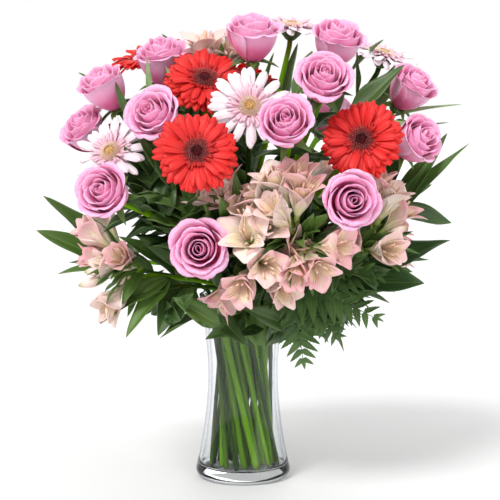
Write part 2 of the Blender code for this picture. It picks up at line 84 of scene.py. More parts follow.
class Piece:  # gathers surfaces and makes one mesh of them
    def __init__(self, name):
        self.name, self.points, self.faces, self.marks, self.count = name, [], [], [], 0

    def add(self, points, faces, uv, tone, kind):
        self.points.append(points)
        self.faces.append(faces + self.count)
        marks = np.zeros((len(points), 4))
        marks[:, :2], marks[:, 2], marks[:, 3] = uv, tone, kind
        self.marks.append(marks)
        self.count += len(points)

    # closed two-sided sheets from grids (k, m, n, 3): each side lies half a thickness off along the
    # normal (across x along), thinning to the rim, and a strip joins the two sides all round
    def sheets(self, grid, thickness, tone=0.5, kind=0.0):
        k, m, n = grid.shape[:3]
        normal = unit(np.cross(np.gradient(grid, axis=2), np.gradient(grid, axis=1)))
        across, along = np.linspace(-1, 1, n), np.linspace(-1, 1, m)
        body = (1 - np.abs(across[None]) ** 4) * (1 - np.abs(along[:, None]) ** 8)
        half = thickness / 2 * (0.3 + 0.7 * body)[None, :, :, None]
        points = np.concatenate([grid + normal * half, grid - normal * half], 1).reshape(k, -1, 3)
        cell = np.arange(m * n).reshape(m, n)
        top = np.stack([cell[:-1, :-1], cell[:-1, 1:], cell[1:, 1:], cell[1:, :-1]], -1).reshape(-1, 4)
        ring = np.concatenate([cell[0, :-1], cell[:-1, -1], cell[-1, :0:-1], cell[:0:-1, 0]])
        after = np.roll(ring, -1)
        rim = np.stack([after, ring, ring + m * n, after + m * n], -1)
        faces = np.concatenate([top, top[:, ::-1] + m * n, rim])
        faces = (faces[None] + (np.arange(k) * 2 * m * n)[:, None, None]).reshape(-1, 4)
        u, v = np.meshgrid((across + 1) / 2, (along + 1) / 2)
        uv = np.tile(np.stack([u, v], -1).reshape(-1, 2), (2 * k, 1))
        tone = np.repeat(np.broadcast_to(tone, k), 2 * m * n)
        self.add(points.reshape(-1, 3), faces, uv, tone, kind)

    # closed tubes round paths (k, m, 3) with radii (k, m): rings of points in the plane across each
    # path, and a last point at both ends
    def tubes(self, paths, radii, sides=10, tone=0.5, kind=0.0, slant=0.0):
        k, m = paths.shape[:2]
        tangent = unit(np.gradient(paths, axis=1))
        hint = unit(np.cross(tangent[:, m // 2], np.array([0.31, 0.17, 0.93])) + 1e-6)
        side = unit(hint[:, None] - tangent * (hint[:, None] * tangent).sum(-1, keepdims=True))
        front = np.cross(tangent, side)
        angle = np.arange(sides) * 2 * np.pi / sides
        c, s = np.cos(angle)[:, None], np.sin(angle)[:, None]
        offset = side[:, :, None] * c + front[:, :, None] * s
        rings = paths[:, :, None] + offset * np.broadcast_to(radii, (k, m))[..., None, None]
        rings[:, 0] += tangent[:, :1] * (slant * (1 + np.cos(angle)))[:, None]
        ends = np.stack([rings[:, 0].mean(1), rings[:, -1].mean(1)], 1)
        points = np.concatenate([rings.reshape(k, -1, 3), ends], 1)
        cell = np.arange(m * sides).reshape(m, sides)
        turned = np.roll(cell, -1, 1)
        walls = np.stack([cell[:-1], turned[:-1], turned[1:], cell[1:]], -1).reshape(-1, 4)
        foot, tip = np.full(sides, m * sides), np.full(sides, m * sides + 1)
        caps = np.concatenate([
            np.stack([turned[0], cell[0], foot, foot], -1), np.stack([cell[-1], turned[-1], tip, tip], -1)])
        faces = np.concatenate([walls, caps])
        faces = (faces[None] + (np.arange(k) * (m * sides + 2))[:, None, None]).reshape(-1, 4)
        v, u = np.meshgrid(np.linspace(0, 1, m), np.abs(angle / np.pi - 1), indexing="ij")
        uv = np.concatenate([np.stack([u, v], -1).reshape(-1, 2), [[0, 0], [0, 1]]])
        tone = np.repeat(np.broadcast_to(tone, k), m * sides + 2)
        self.add(points.reshape(-1, 3), faces, np.tile(uv, (k, 1)), tone, kind)

    def build(self, material, slot=None, stands=()):
        points, faces = np.concatenate(self.points), np.concatenate(self.faces)
        marks = np.concatenate(self.marks)
        tri = faces[:, 2] == faces[:, 3]
        starts = np.concatenate([[0], np.cumsum(np.where(tri, 3, 4))[:-1]])
        keep = np.ones(faces.shape, bool)
        keep[tri, 3] = False
        corners = faces[keep].astype(np.int32)
        mesh = bpy.data.meshes.new(self.name)
        mesh.vertices.add(len(points))
        mesh.vertices.foreach_set("co", points.astype(np.float32).ravel())
        mesh.loops.add(len(corners))
        mesh.loops.foreach_set("vertex_index", corners)
        mesh.polygons.add(len(faces))
        mesh.polygons.foreach_set("loop_start", starts.astype(np.int32))
        mesh.update(calc_edges=True)
        mesh.validate()
        mesh.polygons.foreach_set("use_smooth", np.ones(len(mesh.polygons), bool))
        uv = mesh.uv_layers.new(name="grain")
        used = np.zeros(len(mesh.loops), np.int32)
        mesh.loops.foreach_get("vertex_index", used)
        uv.data.foreach_set("uv", marks[used, :2].astype(np.float32).ravel())
        for at, label in ((2, "tone"), (3, "kind")):
            held = mesh.attributes.new(label, "FLOAT", "POINT")
            held.data.foreach_set("value", marks[:, at].astype(np.float32))
        made = bpy.data.objects.new(self.name, mesh)
        bpy.context.scene.collection.objects.link(made)
        made.data.materials.append(material)
        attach(made, "root")
        if stands:
            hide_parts(*stands)


# materials

def socketGroup(name, inputs, outputs):
    group = bpy.data.node_groups.new(name, "ShaderNodeTree")
    for label, kind, value in inputs:
        made = group.interface.new_socket(label, in_out="INPUT", socket_type=kind)
        made.default_value = value
    for label, kind in outputs:
        group.interface.new_socket(label, in_out="OUTPUT", socket_type=kind)
    return group, Wiring(group)


class Wiring:  # short calls for adding and joining nodes in one tree
    def __init__(self, tree):
        self.tree = tree

    def node(self, kind, **values):
        made = self.tree.nodes.new(kind)
        for label, value in values.items():
            setattr(made, label, value)
        return made

    def join(self, source, target):
        self.tree.links.new(source, target)

    def feed(self, target, value):
        if isinstance(value, bpy.types.NodeSocket):
            self.join(value, target)
        elif isinstance(value, tuple):
            target.default_value = value if len(value) == 4 or target.type == "VECTOR" else (*value, 1)
        else:
            target.default_value = value

    def math(self, operation, a, b=0.0, c=0.0):
        made = self.node("ShaderNodeMath", operation=operation)
        for target, value in zip(made.inputs, (a, b, c)):
            self.feed(target, value)
        return made.outputs[0]

    def times(self, a, b):
        return self.math("MULTIPLY", a, b)

    def fromMiddle(self, value, middle=0.5):  # how far a value is from a middle one
        return self.math("ABSOLUTE", self.math("SUBTRACT", value, middle))

    def ramp(self, value, low, high, out=(0.0, 1.0)):
        made = self.node("ShaderNodeMapRange", interpolation_type="SMOOTHSTEP")
        for target, given in zip(made.inputs, (value, low, high, *out)):
            self.feed(target, given)
        return made.outputs[0]

    def mix(self, share, a, b):
        made = self.node("ShaderNodeMix", data_type="RGBA")
        self.feed(made.inputs[0], share)
        self.feed(made.inputs[6], a)
        self.feed(made.inputs[7], b)
        return made.outputs[2]

    def noise(self, vector, scale, detail=3.0, stretch=None):
        if stretch:
            spread = self.node("ShaderNodeMapping")
            spread.inputs["Scale"].default_value = stretch
            self.join(vector, spread.inputs["Vector"])
            vector = spread.outputs[0]
        made = self.node("ShaderNodeTexNoise")
        made.inputs["Scale"].default_value = scale
        made.inputs["Detail"].default_value = detail
        self.join(vector, made.inputs["Vector"])
        return made.outputs["Fac"]

    def attribute(self, name):
        return self.node("ShaderNodeAttribute", attribute_name=name).outputs["Fac"]

    def grain(self):  # (across, along) of a sheet or tube, each from 0 to 1
        uv = self.node("ShaderNodeUVMap", uv_map="grain").outputs[0]
        parts = self.node("ShaderNodeSeparateXYZ")
        self.join(uv, parts.inputs[0])
        return uv, parts.outputs[0], parts.outputs[1]

    def place(self):
        return self.node("ShaderNodeTexCoord").outputs["Object"]


def blank(name):
    material = bpy.data.materials.new(name)
    material.use_nodes = True
    wires = Wiring(material.node_tree)
    return material, wires, material.node_tree.nodes["Principled BSDF"]


# veins that run from base to tip, fanning a little: fine noise stretched along the sheet
veinGroup, w = socketGroup(
    "veins", [("Grain", "NodeSocketVector", (0, 0, 0)), ("Lines", "NodeSocketFloat", 30.0)],
    [("Vein", "NodeSocketFloat"), ("Blotch", "NodeSocketFloat")])
gin, gout = w.node("NodeGroupInput"), w.node("NodeGroupOutput")
parts = w.node("ShaderNodeSeparateXYZ")
w.join(gin.outputs["Grain"], parts.inputs[0])
acrossLines = w.times(parts.outputs[0], gin.outputs["Lines"])
joinedUp = w.node("ShaderNodeCombineXYZ")
w.join(acrossLines, joinedUp.inputs[0])
w.join(w.times(parts.outputs[1], 1.6), joinedUp.inputs[1])
w.join(w.noise(joinedUp.outputs[0], 1.0, 2.0), gout.inputs["Vein"])
w.join(w.noise(w.place(), 90.0, 3.0), gout.inputs["Blotch"])


def veins(wires, uv, lines):
    made = wires.node("ShaderNodeGroup", node_tree=veinGroup)
    wires.join(uv, made.inputs["Grain"])
    made.inputs["Lines"].default_value = lines
    return made.outputs["Vein"], made.outputs["Blotch"]


def bump(wires, shader, height, distance, strength=0.5):
    made = wires.node("ShaderNodeBump")
    made.inputs["Strength"].default_value = strength
    made.inputs["Distance"].default_value = distance
    wires.join(height, made.inputs["Height"])
    wires.join(made.outputs[0], shader.inputs["Normal"])


def soften(shader, share, reach):  # light passes a little way under the surface
    shader.inputs["Subsurface Weight"].default_value = share
    shader.inputs["Subsurface Radius"].default_value = reach


# deep is a painted shade colour for the petal feet down in the cup; the veins also take it as their own
# colour
roseLook = {"deep": (1.0, 0.13, 0.38), "body": (1.0, 0.34, 0.6), "edge": (1.0, 0.62, 0.82),
            "outside": (1.0, 0.44, 0.68), "rough": 0.55, "soft": 0.6}


# rose petal: painted shade in the deep colour at the foot, where it lies between other petals; paler and
# cooler to the rim, faint veins
def rosePetalMaterial(look):
    material, w, shader = blank("rosePetal")
    uv, across, along = w.grain()
    vein, blotch = veins(w, uv, 34.0)
    tone = w.attribute("tone")
    toRim = w.ramp(along, 0.35, 1.0)
    toSide = w.ramp(w.fromMiddle(across), 0.3, 0.5)
    # painted shade: the foot of each petal, hidden between the others, goes to the deep colour
    colour = w.mix(w.ramp(along, 0.15, 0.72), look["deep"], look["body"])
    colour = w.mix(w.times(toRim, w.math("MULTIPLY_ADD", tone, 0.55, 0.3)), colour, look["edge"])
    colour = w.mix(w.times(toSide, 0.45), colour, look["edge"])
    colour = w.mix(w.times(w.ramp(vein, 0.45, 0.75), 0.22), colour, look["deep"])
    colour = w.mix(w.times(w.ramp(blotch, 0.5, 0.8), 0.3), colour, look["outside"])
    w.join(colour, shader.inputs["Base Color"])
    w.join(w.math("MULTIPLY_ADD", vein, 0.12, look["rough"] - 0.05), shader.inputs["Roughness"])
    soften(shader, look["soft"], (0.004, 0.0015, 0.002))
    shader.inputs["Sheen Weight"].default_value = 0.1
    shader.inputs["Sheen Roughness"].default_value = 0.4
    bump(w, shader, vein, 0.0004, 0.35)
    return material


# gerbera: kind 0 outer rays, 1 inner rays, 2 ring of filaments, 3 eye
def gerberaMaterial(name, look):
    material, w, shader = blank(name)
    uv, across, along = w.grain()
    vein = veins(w, uv, 9.0)[0]
    tone, kind = w.attribute("tone"), w.attribute("kind")
    ray = w.mix(w.ramp(along, 0.0, look["reach"]), look["foot"], look["ray"])
    ray = w.mix(w.times(w.ramp(along, 0.75, 1.0), look["tipShare"]), ray, look["tip"])
    groove = w.ramp(w.fromMiddle(w.fromMiddle(across), 0.2), 0.0, 0.09, (1.0, 0.0))
    ray = w.mix(w.times(groove, 0.35), ray, look["groove"])
    ray = w.mix(w.times(w.ramp(vein, 0.5, 0.75), 0.3), ray, look["groove"])
    ray = w.mix(w.times(tone, 0.35), ray, look["shade"])
    inner = w.mix(along, look["innerFoot"], look["innerTip"])
    ring = w.mix(w.ramp(along, 0.45, 1.0), look["ringFoot"], look["ringTip"])
    eye = w.mix(w.ramp(tone, 0.2, 0.9), look["eye"], look["eyeTip"])
    colour = w.mix(w.ramp(kind, 0.4, 0.6), ray, inner)
    colour = w.mix(w.ramp(kind, 1.4, 1.6), colour, ring)
    colour = w.mix(w.ramp(kind, 2.4, 2.6), colour, eye)
    w.join(colour, shader.inputs["Base Color"])
    shader.inputs["Roughness"].default_value = look["rough"]
    soften(shader, look["soft"], look["softReach"])
    shader.inputs["Sheen Weight"].default_value = look["sheen"]
    bump(w, shader, vein, 0.0005, 0.5)
    return material


redLook = {"foot": (0.5, 0.006, 0.006), "ray": (0.82, 0.016, 0.012), "reach": 0.45,
           "tip": (0.86, 0.03, 0.022), "tipShare": 0.5, "groove": (0.42, 0.003, 0.004),
           "shade": (0.62, 0.008, 0.008), "innerFoot": (0.3, 0.004, 0.006),
           "innerTip": (0.72, 0.015, 0.012), "ringFoot": (0.2, 0.004, 0.01), "ringTip": (0.75, 0.2, 0.17),
           "eye": (0.045, 0.003, 0.008), "eyeTip": (0.2, 0.012, 0.018), "rough": 0.55, "sheen": 0.0,
           "soft": 0.06, "softReach": (0.004, 0.0008, 0.0006)}
paleLook = {"foot": (0.9, 0.5, 0.62), "ray": (0.95, 0.86, 0.9), "reach": 0.42, "tip": (0.97, 0.95, 0.96),
            "tipShare": 0.8, "groove": (0.92, 0.7, 0.78), "shade": (0.94, 0.8, 0.86),
            "innerFoot": (0.9, 0.48, 0.6), "innerTip": (0.95, 0.76, 0.83),
            "ringFoot": (0.9, 0.58, 0.5), "ringTip": (0.97, 0.85, 0.66), "eye": (0.75, 0.42, 0.12),
            "eyeTip": (0.95, 0.74, 0.36), "rough": 0.5, "sheen": 0.1, "soft": 0.1,
            "softReach": (0.003, 0.002, 0.002)}

lilyLook = {"throat": (0.82, 0.82, 0.5), "body": (0.97, 0.66, 0.64), "tip": (0.9, 0.4, 0.47),
            "cream": (0.97, 0.88, 0.78), "stripe": (0.3, 0.04, 0.05), "spot": (0.95, 0.82, 0.5),
            "green": (0.3, 0.42, 0.08), "stamen": (0.85, 0.6, 0.45), "rough": 0.48, "soft": 0.3}


# alstroemeria: kind 0 broad tepal, 1 narrow striped tepal, 2 filament, 3 green stalk, 4 bud
def lilyMaterial(look):
    material, w, shader = blank("alstroemeriaTepal")
    uv, across, along = w.grain()
    vein, blotch = veins(w, uv, 16.0)
    tone, kind = w.attribute("tone"), w.attribute("kind")
    middle = w.ramp(w.fromMiddle(across), 0.02, 0.2, (1.0, 0.0))
    body = w.mix(tone, look["cream"], look["body"])
    petal = w.mix(w.ramp(along, 0.12, 0.5), look["throat"], body)
    petal = w.mix(w.times(w.ramp(along, 0.5, 1.0), w.math("MULTIPLY_ADD", tone, 0.7, 0.1)),
                  petal, look["tip"])
    rib = w.times(middle, w.ramp(along, 0.25, 1.0, (0.6, 0.15)))
    petal = w.mix(rib, petal, look["throat"])
    petal = w.mix(w.times(w.ramp(vein, 0.52, 0.72), 0.3), petal, look["tip"])
    spot = w.times(w.ramp(along, 0.45, 0.6), w.ramp(along, 0.72, 0.85, (1.0, 0.0)))
    striped = w.mix(w.times(spot, 0.6), petal, look["spot"])
    dash = w.times(w.ramp(vein, 0.6, 0.64), w.ramp(along, 0.35, 0.45))
    dash = w.times(dash, w.ramp(along, 0.82, 0.9, (1.0, 0.0)))
    striped = w.mix(w.times(dash, 0.9), striped, look["stripe"])
    budSide = w.mix(w.ramp(vein, 0.4, 0.6), look["cream"], look["body"])
    bud = w.mix(w.ramp(along, 0.15, 0.6), look["green"], budSide)
    bud = w.mix(w.ramp(along, 0.8, 1.0, (0.0, 0.7)), bud, look["green"])
    colour = w.mix(w.ramp(kind, 0.4, 0.6), petal, striped)
    colour = w.mix(w.ramp(kind, 1.4, 1.6), colour, look["stamen"])
    colour = w.mix(w.ramp(kind, 2.4, 2.6), colour, look["green"])
    colour = w.mix(w.ramp(kind, 3.4, 3.6), colour, bud)
    colour = w.mix(w.times(w.ramp(blotch, 0.5, 0.8), 0.15), colour, look["tip"])
    w.join(colour, shader.inputs["Base Color"])
    shader.inputs["Roughness"].default_value = look["rough"]
    soften(shader, look["soft"], (0.006, 0.004, 0.0035))
    bump(w, shader, vein, 0.0005, 0.5)
    return material


# leaf: parallel veins, pale rib; tone runs from dark leaves to light ones, and the deep cover leaves hold
# only its dark end as painted shade inside the bouquet
def leafMaterial(name, look):
    material, w, shader = blank(name)
    uv, across = w.grain()[:2]
    vein, blotch = veins(w, uv, look["lines"])
    tone = w.attribute("tone")
    colour = w.mix(tone, look["dark"], look["light"])
    colour = w.mix(w.times(w.ramp(blotch, 0.35, 0.75), 0.4), colour, look["patch"])
    colour = w.mix(w.times(w.ramp(vein, 0.48, 0.7), look["veinShare"]), colour, look["vein"])
    rib = w.ramp(w.fromMiddle(across), 0.0, look["ribWidth"], (1.0, 0.0))
    colour = w.mix(w.times(rib, 0.7), colour, look["vein"])
    edge = w.ramp(w.fromMiddle(across), 0.46, 0.5)
    colour = w.mix(w.times(edge, 0.35), colour, look["edge"])
    w.join(colour, shader.inputs["Base Color"])
    w.join(w.math("MULTIPLY_ADD", blotch, 0.25, look["rough"]), shader.inputs["Roughness"])
    soften(shader, 0.05, (0.001, 0.002, 0.0005))
    bump(w, shader, vein, 0.0005, look["relief"])
    return material


leafLook = {"dark": (0.022, 0.06, 0.014), "light": (0.12, 0.235, 0.035), "patch": (0.05, 0.12, 0.02),
            "vein": (0.2, 0.33, 0.09), "edge": (0.22, 0.3, 0.08), "lines": 24.0, "veinShare": 0.25,
            "ribWidth": 0.035, "rough": 0.3, "relief": 0.6}
broadLook = dict(leafLook, dark=(0.02, 0.055, 0.018), light=(0.07, 0.16, 0.035), lines=9.0, veinShare=0.35)
fernLook = dict(leafLook, dark=(0.035, 0.09, 0.025), light=(0.1, 0.2, 0.05), lines=7.0, rough=0.4)
grassLook = dict(leafLook, dark=(0.1, 0.2, 0.06), light=(0.35, 0.5, 0.2), vein=(0.62, 0.7, 0.42),
                 veinShare=0.5)


# stem: long streaks, a little brown on old stems
def stemMaterial(look):
    material, w, shader = blank("stem")
    uv = w.grain()[0]
    streak = w.noise(uv, 1.0, 3.0, (14.0, 5.0, 1.0))
    patch = w.noise(w.place(), 26.0, 3.0)
    tone = w.attribute("tone")
    colour = w.mix(w.ramp(tone, 0.2, 0.85), look["dark"], look["light"])
    colour = w.mix(w.times(w.ramp(streak, 0.45, 0.75), 0.5), colour, look["streak"])
    colour = w.mix(w.times(w.ramp(patch, 0.55, 0.75), look["brownShare"]), colour, look["brown"])
    w.join(colour, shader.inputs["Base Color"])
    w.join(w.math("MULTIPLY_ADD", streak, 0.2, look["rough"]), shader.inputs["Roughness"])
    shader.inputs["Specular IOR Level"].default_value = look["shine"]
    bump(w, shader, streak, 0.0006, 0.5)
    return material


stemLook = {"dark": (0.022, 0.07, 0.003), "light": (0.19, 0.44, 0.005), "streak": (0.07, 0.13, 0.003),
            "brown": (0.13, 0.06, 0.008), "brownShare": 0.7, "rough": 0.38, "shine": 0.15}

roseMaterial = rosePetalMaterial(roseLook)
redMaterial = gerberaMaterial("gerberaRed", redLook)
paleMaterial = gerberaMaterial("gerberaPale", paleLook)
tepalMaterial = lilyMaterial(lilyLook)
lanceMaterial = leafMaterial("lanceLeaf", leafLook)
broadMaterial = leafMaterial("broadLeaf", broadLook)
fernMaterial = leafMaterial("fernLeaf", fernLook)
grassMaterial = leafMaterial("grassLeaf", grassLook)
stalkMaterial = stemMaterial(stemLook)
print("materials made")


# stems, from the frame's own tubes

def nodePoints(name):
    mesh = nodes[name].data
    points = np.zeros(len(mesh.vertices) * 3)
    mesh.vertices.foreach_get("co", points)
    return np.unique(np.round(points.reshape(-1, 3), 5), axis=0)


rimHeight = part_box("vase")[1].z


ringRules = {"inRim": 0.047, "spread": 0.75, "step": 0.06}


# centres of a tube's rings: the foot, the ring inside the rim, then always the nearest ring left
def ringCentres(name, width):
    left = nodePoints(name)
    atFoot = left[:, 2] < left[:, 2].min() + width
    sides = atFoot.sum()
    centres = [left[atFoot].mean(0)]
    left = left[left[:, 2] > rimHeight - width]
    outside = np.hypot(left[:, 0], left[:, 1]) > ringRules["inRim"]
    onAxis = np.argsort(np.abs(left[:, 2] - rimHeight) + 10 * outside)
    centres.append(left[onAxis[:sides]].mean(0))
    left = np.delete(left, onAxis[:sides], 0)
    while len(left) >= sides:
        nearest = np.argsort(np.linalg.norm(left - centres[-1], axis=1))[:sides]
        centre = left[nearest].mean(0)
        spread = np.linalg.norm(left[nearest] - centre, axis=1).max()
        step = np.linalg.norm(centre - centres[-1])
        if spread > width * ringRules["spread"] or step > ringRules["step"]:
            break
        centres.append(centre)
        left = np.delete(left, nearest, 0)
    return np.array(centres)


# smooth line through the centres: a straight run below the rim, then a spline, at even steps
def smoothLine(centres, count=64):
    foot, rim = centres[:2]
    steps = np.linspace(0, 1, 8)[:-1, None]
    knots = np.concatenate([foot + (rim - foot) * steps, centres[1:]])
    padded = np.concatenate([knots[:1] * 2 - knots[1:2], knots, knots[-1:] * 2 - knots[-2:-1]])
    t = np.linspace(0, 1, 12, endpoint=False)[None, :, None]
    a, b, c, d = (padded[i : len(padded) - 3 + i, None] for i in range(4))
    curve = 2 * b + (c - a) * t + (2 * a - 5 * b + 4 * c - d) * t**2 + (3 * b - a - 3 * c + d) * t**3
    curve = np.concatenate([curve.reshape(-1, 3) / 2, knots[-1:]])
    along = np.concatenate([[0], np.cumsum(np.linalg.norm(np.diff(curve, axis=0), axis=1))])
    even = np.linspace(0, along[-1], count)
    return np.stack([np.interp(even, along, curve[:, i]) for i in range(3)], -1)


random = np.random.default_rng(7)
stemSize = {"rose": 0.0032, "gerbera": 0.003, "alstroemeria": 0.0025, "leaf": 0.0022, "thorns": 6,
            "knot": 0.008}
heads = {}  # for each flower or spray: where its stem ends, and the way it points


def stemPaths(name, radius):
    centres = ringCentres(name, radius * 2)
    heads[name] = (centres[-1], unit(centres[-1] - centres[-2]))
    return smoothLine(centres)


# a stem's radius along its path: swollen joints where leaves grew, a little wider at the foot
def stemRadii(count, radius, joints):
    t = np.linspace(0, 1, count)
    bulge = np.exp(-(((t[None] - joints[:, None]) / 0.011) ** 2)).sum(0)
    return radius * (1.04 - 0.1 * t + 0.17 * bulge)


# thorns: short curved spikes set round a stem at random
def addThorns(piece, path, radius, count):
    at = random.integers(20, len(path) - 6, count)
    tangent = unit(path[at + 1] - path[at - 1])
    side = unit(np.cross(tangent, unit(random.normal(size=(count, 3)))))
    t = np.linspace(0, 1, 4)[None, :, None]
    start = path[at][:, None] + side[:, None] * radius * 0.8
    spikes = start + side[:, None] * t * 0.005 - tangent[:, None] * t**2 * 0.002
    piece.tubes(spikes, np.linspace(0.0016, 0.0003, 4)[None], 6, 0.3, 0.0)


def stalkPiece(label, line, radius, joints, tone, slant, sides=12, thorns=0, stands=()):
    piece = Piece(label + "_stalk")
    piece.tubes(line[None], stemRadii(len(line), radius, joints)[None], sides, tone, 0.0, slant)
    if thorns:
        addThorns(piece, line, radius, thorns)
    piece.build(stalkMaterial, "stem_green", stands)


def bloomStem(label, radius, thorns=0):
    line = stemPaths(label + "_stem", radius)
    stalkPiece(label, line, radius, np.sort(random.uniform(0.08, 0.9, 4)), random.uniform(0.1, 0.95),
               0.0022, 16, thorns, (label + "_stem",))
    return line


def knotted(name, radius):  # a stem's line, drawn on to the knot that its flowers or leaves leave from
    line = stemPaths(name, radius)
    tip, axis = heads[name]
    knot = tip + axis * stemSize["knot"]
    return np.concatenate([line, knot[None]]), knot, axis


roseNames = sorted(n[:-6] for n in nodes if n.startswith("rose_") and n.endswith("_bloom"))
redNames = sorted(n[:-6] for n in nodes if n.startswith("red_gerbera") and n.endswith("_bloom"))
paleNames = sorted(n[:-6] for n in nodes if n.startswith("pale_gerbera") and n.endswith("_bloom"))
stemLines = {}
for label in roseNames:
    stemLines[label] = bloomStem(label, stemSize["rose"], stemSize["thorns"])
for label in redNames + paleNames:
    stemLines[label] = bloomStem(label, stemSize["gerbera"])
print("stems made:", len(stemLines))


# leaves

# leaf grids (k, m, n, 3): a middle line that runs along, droops and lifts its tip; a width with its
# widest part at belly; halves folded up from the rib; a rim that waves; the whole twisted along the way
def leafGrids(base, along, up, length, width, droop=0.25, fold=0.3, wave=0.05, twist=0.0, belly=0.42,
              rows=15, columns=7, teeth=0):
    k = len(base)
    along = unit(along)
    side = unit(np.cross(up, along) + 1e-6)
    up = np.cross(along, side)
    expand = lambda x: np.broadcast_to(np.asarray(x, float), k)[:, None, None]
    length, width, droop, fold, wave, twist = map(expand, (length, width, droop, fold, wave, twist))
    t = np.linspace(0, 1, rows)[None, :, None]
    s = np.linspace(-1, 1, columns)[None, None]
    warp = t ** (np.log(0.5) / np.log(belly))
    half = width / 2 * (np.sin(np.pi * warp) ** 0.85 * (1 - 0.12 * t) + 0.06 * (1 - t) ** 2 + 0.012)
    if teeth:
        half = half * (0.62 + 0.38 * np.abs(np.cos(np.pi * teeth * t)))
    turn = twist * t + 0 * s
    phase = np.linspace(0, 5, k)[:, None, None]
    lift = np.abs(s) ** 1.2 * half * fold * 2 + wave * half * np.sin(9 * t + phase + 2 * s) * s**2 * 2
    x = s * half * (1 - 0.15 * fold)
    onward = length * t * (1 - 0.18 * droop * t)
    sink = -droop * length * (0.2 * t + 0.75 * t**2) * 0.6
    a = x * np.cos(turn) - lift * np.sin(turn)
    b = x * np.sin(turn) + lift * np.cos(turn) + sink
    grids = (np.broadcast_to(onward, a.shape)[..., None] * along[:, None, None]
             + a[..., None] * side[:, None, None] + b[..., None] * up[:, None, None])
    return grids + np.asarray(base)[:, None, None]


roseRoom = {"middle": 0.026, "radius": 0.025, "front": 0.03, "flower": 0.048}


def besideRoses(points):  # what would run into a rose lies against its back instead
    for name, (tip, axis) in heads.items():
        if name.startswith("rose_"):
            offset = points - (tip + axis * roseRoom["middle"])
            deep = offset @ axis
            wide = np.linalg.norm(offset - deep[..., None] * axis, axis=-1)
            back = -np.sqrt(np.maximum(roseRoom["radius"] ** 2 - wide**2, 0))
            inside = (wide < roseRoom["radius"]) & (deep > back) & (deep < roseRoom["front"])
            points = points + np.where(inside, back - deep, 0)[..., None] * axis
    return points


def clearOfRoses(point):  # a flower's middle, moved away from any rose it would touch
    for name, (tip, axis) in heads.items():
        if name.startswith("rose_"):
            gap = point - (tip + axis * roseRoom["middle"])
            point = point + unit(gap) * max(roseRoom["flower"] - np.linalg.norm(gap), 0)
    return point


def fillerGrids(*shape):
    return besideRoses(leafGrids(*shape))


def skyward(direction, lean=0.0):  # the upper side of a leaf that grows this way
    direction = unit(direction)
    up = np.array([0.0, 0, 1]) - direction * direction[:, 2:3] + 1e-4
    side = np.cross(direction, unit(up))
    return unit(unit(up) + side * np.broadcast_to(lean, len(direction))[:, None])


# roses

roseShape = {"radius": 0.0238, "height": 0.051, "thick": 0.0007, "curl": 0.0085, "rows": 13,
             "columns": 13}
# each whorl: petals, radius, height, half angle, rim curl, closing of the top, first angle
roseWhorls = [
    (3, 0.15, 0.92, 2.1, 0.00, 0.50, 0.0), (3, 0.29, 0.98, 1.75, 0.03, 0.46, 0.7),
    (4, 0.46, 1.00, 1.35, 0.12, 0.40, 0.3), (4, 0.66, 0.98, 1.25, 0.32, 0.28, 0.9),
    (4, 0.85, 0.93, 1.20, 0.55, 0.16, 0.2), (4, 1.00, 0.86, 1.15, 0.70, 0.05, 1.05)]


# rose petals: each is part of a cup, radius rising fast with height then closing or curling out at the
# rim; one edge runs inside and the other outside, so neighbours overlap in a spiral; the rim has a soft point
def rosePetals(look, opening, chance):
    grids, tones = [], []
    for number, (count, radius, height, half, curl, closing, first) in enumerate(roseWhorls):
        theta = first + np.arange(count) * 2 * np.pi / count + chance.normal(0, 0.12, count)
        v = np.linspace(0, 1, look["rows"])[None, :, None]
        u = np.linspace(-1, 1, look["columns"])[None, None]
        rise = v * (1 - 0.15 * np.abs(u) ** 1.6 - 0.08 * u**4)
        outer = look["radius"] * radius * (0.9 + 0.2 * opening) * uneven(chance, 0.04, count)
        r = 0.003 + (outer - 0.003) * (1 - (1 - rise) ** 2.4) ** 0.75
        r = r * (1 - closing * (1 - 0.4 * opening) * smooth(rise, 0.45, 1.05))
        r = r * (1 + 0.07 * u) + 0.0006 * np.sin(3 * u + theta[:, None, None] * 5) * v**2
        roll = np.clip((rise - 0.74) / 0.26, 0, 1)
        curled = curl * (0.7 + 0.5 * opening) * uneven(chance, 0.18, count)
        furl = 0.75 + 0.35 * np.sin(np.pi * np.abs(u) ** 0.8)
        r = r + curled * look["curl"] * roll**1.6 * furl
        z = look["height"] * height * rise**0.92 * uneven(chance, 0.03, count)
        z = z - curled * look["curl"] * roll**2.6 * furl + 0.003 * (1 - np.abs(u)) ** 2 * v**5 * curl
        spread = np.sin(np.pi * (0.13 + 0.5 * v)) ** 0.6
        angle = theta[:, None, None] + half * uneven(chance, 0.05, count) * u * spread
        grids.append(np.stack([r * np.cos(angle), r * np.sin(angle), z + 0 * r], -1))
        tones.append(chance.uniform(0.15, 0.5, count) + 0.09 * number)
    return np.concatenate(grids), np.concatenate(tones)


calyxLook = {"count": 5, "length": 0.026, "width": 0.0085}


def addCalyx(piece, base, axis, chance):  # a swollen hip and five narrow sepals bent back below the petals
    frameHere = basis(axis)
    t = np.linspace(0, 1, 8)
    hip = base + np.outer(t * 0.009 - 0.0035, axis)
    piece.tubes(hip[None], (0.003 + 0.0042 * np.sin(np.pi * np.clip(t * 0.85 + 0.1, 0, 1)))[None], 12, 0.75)
    angle = np.arange(calyxLook["count"]) * 2 * np.pi / calyxLook["count"] + chance.uniform(0, 1)
    out = np.stack([np.cos(angle), np.sin(angle), chance.uniform(-0.1, 0.5, len(angle))], -1) @ frameHere.T
    start = base + axis * 0.003 + unit(out) * 0.004
    piece.sheets(leafGrids(start, out, np.tile(axis, (len(angle), 1)), calyxLook["length"],
                           calyxLook["width"], 0.5, 0.3, 0.1, 0.0, 0.3, 9, 5), 0.0006, 0.7)


